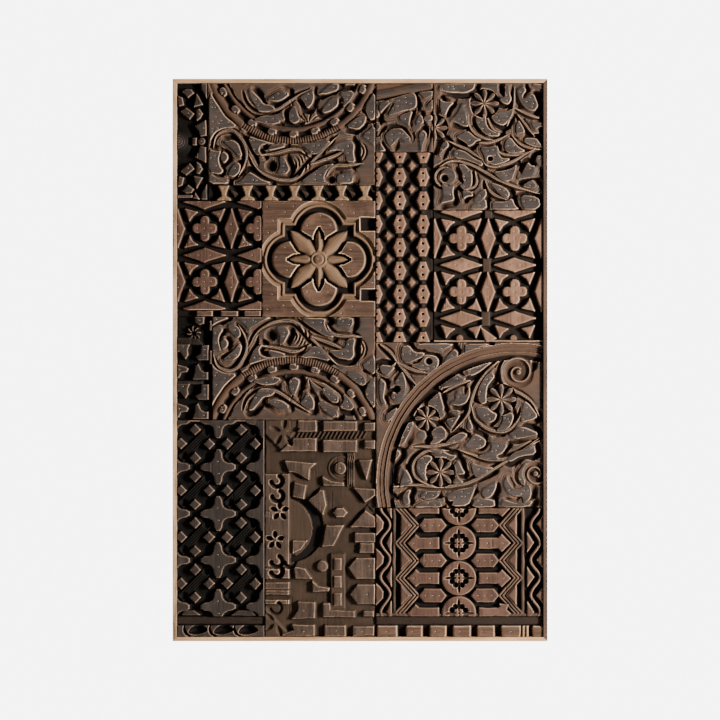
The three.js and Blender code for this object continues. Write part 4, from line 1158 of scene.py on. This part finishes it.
# Small scroll block: a slanting moulding along the top and a leaf curled in a loop under it, cut with
# a few deep gouge strokes in the same wood as the garlands.
scroll_islands = [
    [(40, 545), (59, 555), (91, 565), (114, 571), (119, 565), (121, 557), (120, 541), (112, 536),
     (96, 533), (78, 528), (60, 521), (68, 538), (74, 548), (70, 552), (62, 548), (50, 534), (44, 527)],
    [(84, 522), (101, 528), (111, 531), (108, 521), (106, 510), (105, 501), (95, 507), (86, 512)],
    [(53, 479), (59, 487), (69, 494), (86, 495), (96, 487), (105, 477), (108, 469), (97, 466), (91, 471),
     (85, 477), (80, 470), (74, 464), (66, 455), (58, 464)],
    [(120, 503), (122, 514), (129, 524), (134, 518), (136, 508), (130, 504)],
    [(137, 518), (144, 522), (154, 521), (154, 513), (147, 510), (138, 512)],
    [(126, 480), (129, 487), (135, 490), (142, 482), (140, 472), (134, 458), (132, 447), (130, 447),
     (129, 462)], [(126, 571), (157, 575), (157, 567), (147, 563), (138, 558), (132, 566)],
    [(143, 541), (150, 551), (157, 558), (156, 537)], [(41, 446), (44, 464), (48, 456), (54, 447)],
    [(34, 533), (40, 531), (42, 523), (35, 516)], [(35, 502), (42, 503), (45, 498), (37, 487)],
]
scroll_block = blank_block("scroll_block")
near = from_islands(scroll_block, scroll_islands)
leave(scroll_block, near, 32)
rise = (scroll_block["z"] - 557) - (scroll_block["x"] - 33) * 0.185
moulding = np.interp(rise, [-5, -3, 0, 2, 9, 16, 19], [deep, deep, 6, 3, 1.5, 4, 8])
scroll_block["depth"] = np.where(rise > -5, moulding, scroll_block["depth"])
for line in (bowed(122, 540, 106, 500, 0.08), bowed(106, 500, 112, 486, 0), bowed(147, 505, 146, 470, 0.05)):
    rib(scroll_block, line, 5, 3)
loop = [(37, 482), (42, 495), (50, 504), (62, 508), (75, 508), (90, 504), (100, 497), (106, 488), (110, 478),
        (114, 462), (118, 447)]
rib(scroll_block, loop, 11, 4, even_taper)
clear(scroll_block, near)
pin(scroll_block, scroll_islands)
worn(scroll_block, 26, False, 5)
carved_piece(scroll_block, "small_scroll_block", grey_wood)


# Flower scroll block: one whole flower, and half of another at the left edge, sit among bending stems
# and curled leaves. They are cut with deep strokes that leave grey flat faces between them.
def raised_flower(block, x, z, radius):
    """Ridged petals round a small eye, with a deep cut between each two."""
    part, px, pz = around(block, [(x, z)], radius)
    away = np.hypot(px - x, pz - z)
    petals = 8
    ridge = abs(np.cos(np.arctan2(pz - z, px - x) * petals / 2))
    end = radius * (0.5 + 0.5 * ridge ** 1.5)
    petal = 1.5 + 11 * (1 - ridge) ** 1.5 + 3 * (away / radius) ** 3
    petal = np.where(away < radius * 0.14, 3, petal)
    below = np.where(away < radius, np.maximum(block["depth"][part], deep - 1), block["depth"][part])
    block["depth"][part] = np.where(away < end, petal, below)


flower_scroll_islands = [
    [(172, 588), (245, 590), (243, 578), (225, 570), (190, 572), (168, 575)],
    [(171, 559), (176, 552), (201, 550), (191, 542), (186, 533), (182, 522), (174, 524), (171, 542)],
    [(218, 546), (221, 535), (228, 524), (229, 510), (232, 499), (218, 500), (208, 507), (193, 511),
     (203, 520), (212, 533)],
    [(207, 478), (229, 489), (237, 484), (246, 475), (259, 470), (248, 468), (242, 461), (231, 456),
     (227, 464), (209, 474)],
    [(248, 522), (259, 526), (269, 524), (268, 507), (274, 495), (288, 486), (298, 484), (295, 478),
     (278, 478), (263, 486), (252, 499), (248, 510)],
    [(295, 529), (308, 529), (327, 537), (327, 527), (322, 516), (308, 502), (297, 503), (286, 510),
     (280, 522)],
    [(309, 589), (318, 589), (319, 571), (323, 556), (316, 546), (305, 548), (297, 557), (308, 560),
     (310, 576)],
    [(335, 577), (349, 584), (354, 575), (347, 566), (348, 556), (360, 566), (371, 567), (376, 556),
     (380, 542), (372, 532), (357, 535), (344, 548), (339, 561)], [(366, 589), (391, 589), (391, 577)],
    [(312, 469), (322, 475), (332, 461), (339, 454), (354, 446), (337, 442), (320, 441), (312, 446),
     (309, 456)], [(333, 500), (338, 512), (346, 500), (352, 486), (344, 484), (334, 482)],
    [(351, 473), (366, 474), (377, 472), (384, 461), (391, 454), (372, 456), (352, 464)],
    [(366, 507), (391, 507), (391, 499), (382, 497), (376, 492), (370, 498)],
    [(378, 437), (391, 437), (391, 415), (381, 416), (375, 425)],
    [(358, 422), (365, 414), (373, 414), (373, 405), (367, 395), (356, 395), (346, 399), (352, 409)],
    [(287, 401), (303, 403), (322, 408), (335, 418), (332, 405), (327, 393), (325, 386), (314, 380),
     (303, 384), (290, 395)],
    [(256, 453), (275, 455), (293, 458), (295, 442), (302, 431), (322, 429), (303, 419), (286, 417),
     (268, 423), (266, 435)],
    [(199, 443), (208, 450), (227, 443), (246, 430), (263, 420), (259, 414), (241, 423), (222, 430),
     (203, 432)], [(175, 462), (184, 469), (190, 458), (178, 446), (168, 436), (172, 450)],
    [(209, 418), (222, 419), (231, 409), (239, 397), (240, 380), (236, 366), (224, 362), (212, 372),
     (222, 376), (219, 388), (218, 402)],
    [(175, 378), (186, 372), (201, 371), (198, 359), (201, 341), (186, 338), (172, 334), (178, 350),
     (177, 366)], [(219, 362), (229, 361), (238, 358), (241, 350), (228, 350), (221, 343)],
    [(250, 352), (266, 366), (271, 354), (262, 340), (250, 335), (243, 340)],
    [(282, 378), (300, 372), (312, 366), (320, 354), (316, 346), (303, 348), (292, 361), (280, 374)],
    [(241, 331), (258, 336), (268, 344), (270, 322), (236, 322)],
    [(283, 338), (312, 338), (325, 345), (330, 330), (340, 321), (283, 321)],
    [(344, 350), (369, 351), (383, 343), (384, 329), (372, 321), (354, 321), (346, 334)],
    [(348, 373), (360, 381), (369, 385), (377, 373), (372, 366), (350, 369)],
]
flower_scroll = blank_block("flower_scroll_block")
near = from_islands(flower_scroll, flower_scroll_islands)
leave(flower_scroll, near, 33)
leave_stems(flower_scroll, [
    [(163, 409), (195, 429), (234, 420), (273, 397), (309, 377), (355, 363), (389, 354)],
    [(231, 527), (232, 498), (252, 477), (290, 468)], [(316, 481), (285, 465), (249, 463)],
    [(330, 584), (330, 538), (313, 498)], [(270, 523), (281, 495), (298, 486)],
    [(330, 538), (370, 520), (389, 516)], [(334, 527), (373, 477)],
    [(263, 425), (270, 413), (306, 413), (355, 441), (377, 452)], [(186, 468), (231, 449), (263, 427)],
    [(293, 459), (298, 438), (348, 438), (370, 449)], [(266, 385), (277, 356), (313, 342)],
    [(245, 406), (252, 370), (220, 363)], [(323, 481), (345, 456), (389, 449)],
    turned(181, 390, 22, 19, 20, 300),
], 11)
clear(flower_scroll, near)
raised_flower(flower_scroll, 266, 548, 31)
raised_flower(flower_scroll, 160, 496, 28)
disc_away = np.hypot(flower_scroll["x"] - 188, flower_scroll["z"] - 392)
flower_scroll["depth"] = np.minimum(flower_scroll["depth"], flank_depth(disc_away - 17, 0, 4))
gouge(flower_scroll, bowed(164, 494, 232, 494, 0), 24, 5)
for x, z, r in ((278, 430, 8), (180, 388, 9)):
    hole(flower_scroll, x, z, r, deep + 1)
for z in (566, 520, 488, 400, 340):
    hole(flower_scroll, 392, z, 11, deep)
on_island = (near < -0.7) & (flower_scroll["depth"] <= middle)
flower_scroll["depth"] = np.where(on_island, 0, flower_scroll["depth"])
pin(flower_scroll, flower_scroll_islands)
worn(flower_scroll, 27, False, 12)
carved_piece(flower_scroll, "flower_and_stem_block", grey_wood)


# Arch block: a wide moulding bends from the top right down the left side. Inside it flowers sit among
# bending stems, with two coiled leaf ends at the right edge, and a sprig fills the corner outside.
arch_islands = [
    [(90, 29), (104, 31), (116, 16), (138, 15), (133, 6), (121, 1), (101, -8), (88, 3)],
    [(138, 11), (160, 9), (168, 1), (167, -10), (160, -21), (131, -21), (106, -12), (126, -7), (133, 1)],
    [(200, 23), (208, 18), (209, 10), (195, -2), (180, -9), (185, 6)],
    [(120, 35), (200, 35), (186, 26), (172, 20), (150, 28)],
    [(225, 34), (280, 34), (250, 25), (226, 14), (224, 24)],
    [(41, -10), (75, -14), (65, -28), (57, -34), (45, -27)],
    [(74, -48), (82, -34), (90, -24), (96, -38), (99, -60), (92, -78), (76, -88), (66, -80), (70, -68),
     (78, -73), (86, -66), (84, -54)],
    [(42, -38), (55, -48), (53, -64), (50, -80), (56, -94), (46, -96), (42, -70)],
    [(56, -116), (70, -106), (80, -102), (72, -118), (62, -130), (54, -128)],
    [(145, -90), (158, -78), (170, -68), (174, -82), (180, -106), (170, -112), (160, -103), (146, -101)],
    [(180, -54), (196, -42), (209, -31), (216, -36), (226, -42), (208, -50), (190, -57), (176, -60)],
    [(230, -20), (250, -9), (268, -1), (283, 4), (280, -6), (259, -22), (240, -33), (230, -30)],
    [(203, -76), (209, -66), (215, -76), (226, -74), (234, -56), (235, -73), (227, -90), (212, -97),
     (200, -96), (194, -92), (204, -86)],
    [(252, -73), (256, -53), (268, -34), (281, -24), (288, -36), (279, -46), (271, -56), (269, -70),
     (275, -86), (262, -94), (254, -86)],
    [(247, -102), (262, -100), (280, -106), (292, -116), (288, -128), (276, -134), (262, -130),
     (251, -118)],
    [(306, -116), (324, -112), (328, -122), (322, -140), (306, -153), (290, -152), (300, -140),
     (306, -128)],
    [(352, -88), (362, -96), (380, -120), (367, -127), (345, -134), (343, -122), (348, -104)],
    [(318, -158), (332, -150), (347, -142), (384, -158), (357, -164), (330, -169)],
    [(276, -170), (296, -177), (316, -180), (305, -198), (290, -205), (300, -213), (280, -212),
     (250, -206), (276, -196), (282, -184)],
    [(182, -178), (195, -165), (217, -154), (230, -159), (219, -170), (200, -178)],
    [(224, -182), (234, -172), (244, -158), (257, -163), (268, -172), (266, -183), (254, -190),
     (232, -188)], [(184, -128), (198, -124), (214, -117), (206, -130), (196, -146), (188, -138)],
    [(228, -142), (234, -124), (241, -146), (234, -150)],
    [(152, -155), (160, -145), (174, -141), (184, -152), (182, -166), (166, -178), (148, -180),
     (158, -168)], [(77, -180), (84, -160), (95, -138), (116, -132), (106, -156), (93, -180), (80, -184)],
    [(58, -222), (64, -202), (72, -186), (88, -198), (76, -214), (66, -228)],
    [(46, -270), (49, -246), (58, -226), (70, -228), (69, -246), (69, -272)],
    [(90, -252), (97, -232), (108, -250), (112, -262), (96, -268), (84, -272)],
    [(123, -213), (140, -203), (155, -207), (148, -222), (141, -240), (146, -256), (134, -254),
     (123, -240), (121, -226)],
    [(140, -192), (160, -192), (176, -194), (192, -203), (207, -204), (196, -214), (182, -216),
     (170, -206), (154, -197)],
    [(200, -227), (210, -214), (217, -230), (224, -242), (210, -244), (202, -238)],
    [(238, -218), (258, -228), (288, -230), (268, -244), (249, -251), (241, -240)],
    [(199, -260), (208, -250), (222, -262), (200, -264)],
    [(312, -212), (328, -198), (350, -190), (372, -182), (376, -200), (342, -206), (322, -216)],
    [(337, -252), (340, -237), (351, -221), (359, -223), (354, -240), (352, -258), (351, -270),
     (342, -262)],
    [(306, -264), (314, -247), (318, -261), (328, -275), (340, -277), (352, -270), (361, -262),
     (366, -280), (363, -297), (350, -307), (347, -291), (330, -290), (316, -284)],
    [(260, -288), (262, -276), (276, -268), (292, -262), (288, -278), (280, -292), (268, -296)],
    [(186, -288), (206, -278), (230, -273), (246, -272), (240, -290), (230, -310), (196, -312),
     (200, -300), (190, -302)], [(246, -296), (286, -298), (288, -314), (238, -314)],
    [(306, -298), (322, -304), (345, -308), (370, -300), (360, -314), (300, -314)],
    [(128, -292), (138, -281), (152, -279), (170, -286), (160, -296), (140, -298)],
    [(92, -292), (98, -280), (108, -277), (103, -290), (106, -306), (98, -310), (92, -304)],
    [(118, -312), (132, -305), (152, -300), (172, -302), (176, -314), (118, -314)],
    [(40, -284), (56, -292), (72, -296), (64, -310), (40, -314)],
    [(342, 15), (360, 14), (379, 10), (366, 0), (364, -14), (354, -11), (344, -12), (341, 2)],
]
arch_block = blank_block("arch_block")
near = from_islands(arch_block, arch_islands)
leave(arch_block, near, 34)
leave_stems(arch_block, [
    [(308, 10), (256, -38), (237, -85), (232, -118), (197, -154)],
    [(237, -90), (242, -123), (270, -149), (313, -156), (341, -128), (346, -99)],
    [(42, -275), (109, -265), (170, -272), (232, -265), (270, -242), (317, -213), (384, -166)],
    [(109, -185), (161, -185), (223, -171)],
    [(189, -194), (142, -190), (111, -218), (114, -251), (156, -272)],
    [(204, -190), (299, -223), (384, -171)],
    [(175, -71), (205, -52), (237, -43)],
    [(317, 14), (299, -19), (308, -57), (365, -81), (384, -123)],
    [(78, -4), (66, 18), (40, 34)], [(78, -4), (110, -22), (150, -28)], [(78, -4), (100, -30), (122, -56)],
    [(78, -4), (62, -20), (40, -24)],
])
clear(arch_block, near)
x, z = wandering(arch_block["x"], arch_block["z"])
bend_x, bend_z = 333, -262
bend_inner, bend_outer = 263, 298
from_centre = np.hypot(x - bend_x, z - bend_z)
moulding = np.interp(from_centre, [bend_inner, 265, 270, 273, 277, 279, 281, 288, 290, 295, 297, bend_outer],
                     [12, 14, 13, 8.5, 8, 4.5, 8.5, 6.5, 8, 5.5, 3.2, 0.5])
moulding = moulding + 0.8 * np.cos(from_centre * 2 * np.pi / 4.4)
on_moulding = (from_centre > bend_inner) & (from_centre < bend_outer)
arch_block["depth"] = np.where(on_moulding, moulding, arch_block["depth"])
for flower_at, flower_up, radius in ((143, -125, 27), (302, -84, 33), (172, -240, 32)):
    raised_flower(arch_block, flower_at, flower_up, radius)
for coil_x, coil_z, reach, start in ((338, -26, 36, 200), (375, -243, 28, 90)):
    hole(arch_block, coil_x, coil_z, reach, middle, 6)
    rib(arch_block, turned(coil_x, coil_z, reach, 8, start, -500), 9, 2, even_taper)
    button(arch_block, coil_x, coil_z, 5, 1)
button(arch_block, 131, -161, 11, 1)
for hole_x, hole_z, r in ((147, -3, 8), (78, -62, 9)):
    hole(arch_block, hole_x, hole_z, r, deep + 1)
pin(arch_block, arch_islands)
worn(arch_block, 28, False, 16)
carved_piece(arch_block, "bent_arch_block", grey_wood)


# Mixed block: a rough, much handled block of brown wood. Plain tablets, bars and wedges stand on a
# sunk ground round a shallow dish, with a small flower cut into two corners.
mixed_wood = old_wood("mixed_wood", (0.078, 0.052, 0.039), (0.52, 0.34, 0.23), (0.046, 0.029, 0.019),
                      (0.006, 0.004, 0.003), True, 0.65, 1.05)
mixed_ground = 11
mixed_block = blank_block("mixed_block", ground=mixed_ground)
dish_x, dish_z, dish_radius = -150, -360, 72
dish = np.hypot(mixed_block["x"] - dish_x, mixed_block["z"] - dish_z)
# A crescent inside the dish's right edge is cut deeper than the ground, so it casts a real shadow, and the
# colour by depth also paints it black: a painted shadow.
off_dish = np.hypot(mixed_block["x"] - (dish_x - 18), mixed_block["z"] - dish_z)
crescent = (dish < dish_radius) & (off_dish > 66)
mixed_block["depth"] = np.where(crescent, deep + 2, np.where(dish < dish_radius, 6, mixed_ground))
mixed_islands = [
    [(-170, -194), (-94, -194), (-94, -168), (-142, -168)], box_outline(-133, -94, -152, -130),
    box_outline(-78, -8, -150, -132), box_outline(-78, -8, -195, -172), box_outline(10, 31, -188, -173),
    box_outline(10, 31, -150, -135), box_outline(8, 28, -547, -537),
    [(-160, -216), (-152, -238), (-110, -255), (-108, -232), (-96, -221)],
    [(-80, -250), (-78, -267), (-36, -268), (-36, -263), (-62, -260)],
    [(-2, -214), (14, -254), (24, -214)],
    [(-140, -262), (-143, -291), (-120, -296), (-116, -268)],
    [(-92, -277), (-108, -300), (-79, -330), (-73, -310), (-78, -280)],
    [(-57, -326), (-50, -335), (-36, -335), (-28, -326), (-36, -317), (-50, -317)],
    [(-12, -274), (10, -304), (33, -288), (33, -277)],
    [(12, -322), (-20, -356), (33, -356), (33, -338)],
    box_outline(-10, 33, -388, -370), box_outline(0, 28, -411, -392),
    [(-143, -386), (-143, -412), (-126, -404), (-113, -386)],
    [(-72, -354), (-80, -398), (-58, -396), (-36, -354)],
    [(-203, -335), (-186, -340), (-186, -328), (-203, -324)],
    [(-24, -443), (-8, -466), (31, -466), (31, -424), (-8, -424)],
    [(-20, -500), (-5, -520), (31, -520), (31, -480), (-5, -480)],
    [(-140, -442), (-137, -466), (-124, -466), (-104, -466), (-118, -447)],
    [(-102, -473), (-100, -494), (-68, -493), (-66, -488), (-90, -484)],
    [(-132, -517), (-132, -535), (-145, -552), (-97, -550), (-97, -519)],
    [(-78, -520), (-78, -548), (-12, -548), (-12, -537), (-64, -535), (-65, -520)],
    [(-145, -566), (-140, -578), (-172, -588), (-98, -588), (-98, -567)],
    box_outline(-75, -32, -589, -568), box_outline(-14, 29, -588, -570),
]
for z1, z0 in ((-446, -466), (-476, -488), (-493, -500), (-513, -520)):
    mixed_islands.append(box_outline(-204, -152, z0, z1))
stand(mixed_block, box_outline(-62, -33, -532, -414), low, 2)
for z1, z0 in ((-424, -448), (-462, -486), (-499, -524)):
    mixed_islands.append(box_outline(-55, -40, z0, z1))
stand_all(mixed_block, mixed_islands, 0, 3)
stand(mixed_block, box_outline(-204, -152, -440, -244), 2, 3)
stand(mixed_block, [(-203, -156), (-165, -194), (-128, -128), (-203, -128)], low, 3)
stand(mixed_block, [(-203, -590), (-203, -530), (-150, -590)], low, 3)
for k in range(4):
    rib(mixed_block, [(-26 + 4.2 * k, -270), (-26 + 4.2 * k, -190)], 4, low, even_taper)
for x in range(-138, 8, 9):
    rib(mixed_block, [(x, -167), (x + 8, -153)], 4, 7, even_taper)
ring_x, ring_z = -42, -231
away = np.hypot(mixed_block["x"] - ring_x, mixed_block["z"] - ring_z)
rings = np.where(away < 27, 9.5 + 1.2 * np.cos(away * 2 * np.pi / 7), 99)
mixed_block["depth"] = np.minimum(mixed_block["depth"], rings)
for x, z, radius, top in ((ring_x, ring_z, 12, 0), (-80, -440, 11, 1), (-165, -388, 9, 1)):
    button(mixed_block, x, z, radius, top)


def cut_flower(block, x, z, radius, width, depth, first=0.0):
    """Five scooped petals round a centre."""
    for i in range(5):
        gouge(block, spoke(x, z, first + i * 72, radius * 0.2, radius), width, depth)


cut_flower(mixed_block, -163, -155, 34, 15, 10, 15)
cut_flower(mixed_block, -178, -560, 32, 14, 10)
for star_x, star_z in ((-172, -323), (-182, -385)):
    cut_flower(mixed_block, star_x, star_z, 21, 12, deep + 1, 18)
curls = ((-178, -430), (-150, -430), (-178, -452), (-180, -530), (-178, -258), (-176, -290))
for curl_x, curl_z in curls:
    gouge(mixed_block, turned(curl_x, curl_z, 12, 12, 60, -230), 12, deep + 1, even_taper)
for x0, z0, x1, z1, width in ((-24, -266, 14, -312, 10), (34, -288, -32, -360, 9), (8, -304, 34, -332, 9),
                              (-150, -240, -115, -258, 12), (-112, -298, -78, -262, 12)):
    gouge(mixed_block, bowed(x0, z0, x1, z1, 0), width, deep)
drive_nails(mixed_block, [(-110, -180), (-40, -140), (-42, -184), (20, -440), (15, -500), (-120, -535),
                          (-50, -578), (5, -580), (-120, -580), (ring_x, ring_z), (-165, -388)])
worn(mixed_block, 29, True, 24, 0.6)
carved_piece(mixed_block, "mixed_tablet_block", mixed_wood)


# Nails: short round-headed iron nails, about 2 mm across, driven through the thin parts of the blocks
# into the board. Each head sits just below the wood round it.
def iron(name):
    """Rusty iron, with brighter metal where it is worn."""
    material, tree, shader, place = blank_material(name)
    rust = stretched_noise(tree, place, (1, 1, 1), 700, 4)
    colour = mixed_colour(tree, graded(tree, rust, 0.35, 0.65), (0.62, 0.50, 0.42), (0.26, 0.15, 0.10))
    link(tree, colour, shader.inputs["Base Color"])
    link(tree, graded(tree, rust, 0.3, 0.7, 0.3, 0.7), shader.inputs["Roughness"])
    shader.inputs["Metallic"].default_value = 0.25
    return material


nail_radius = 0.0011
nail_flatness = 0.6
nails = bmesh.new()
for x, z, level in nail_places:
    head = (x / 1000, face_line + (level + 1) / 1000, z / 1000)
    place = Matrix.Translation(head) @ Matrix.Diagonal((1, nail_flatness, 1, 1))
    bmesh.ops.create_icosphere(nails, subdivisions=1, radius=nail_radius, matrix=place)
for face in nails.faces:
    face.smooth = True
nail_data = bpy.data.meshes.new("nail_heads")
nails.to_mesh(nail_data)
nails.free()
nail_data.materials.append(iron("nail_iron"))
nail_heads = bpy.data.objects.new("nail_heads", nail_data)
bpy.context.scene.collection.objects.link(nail_heads)
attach(nail_heads, "root")
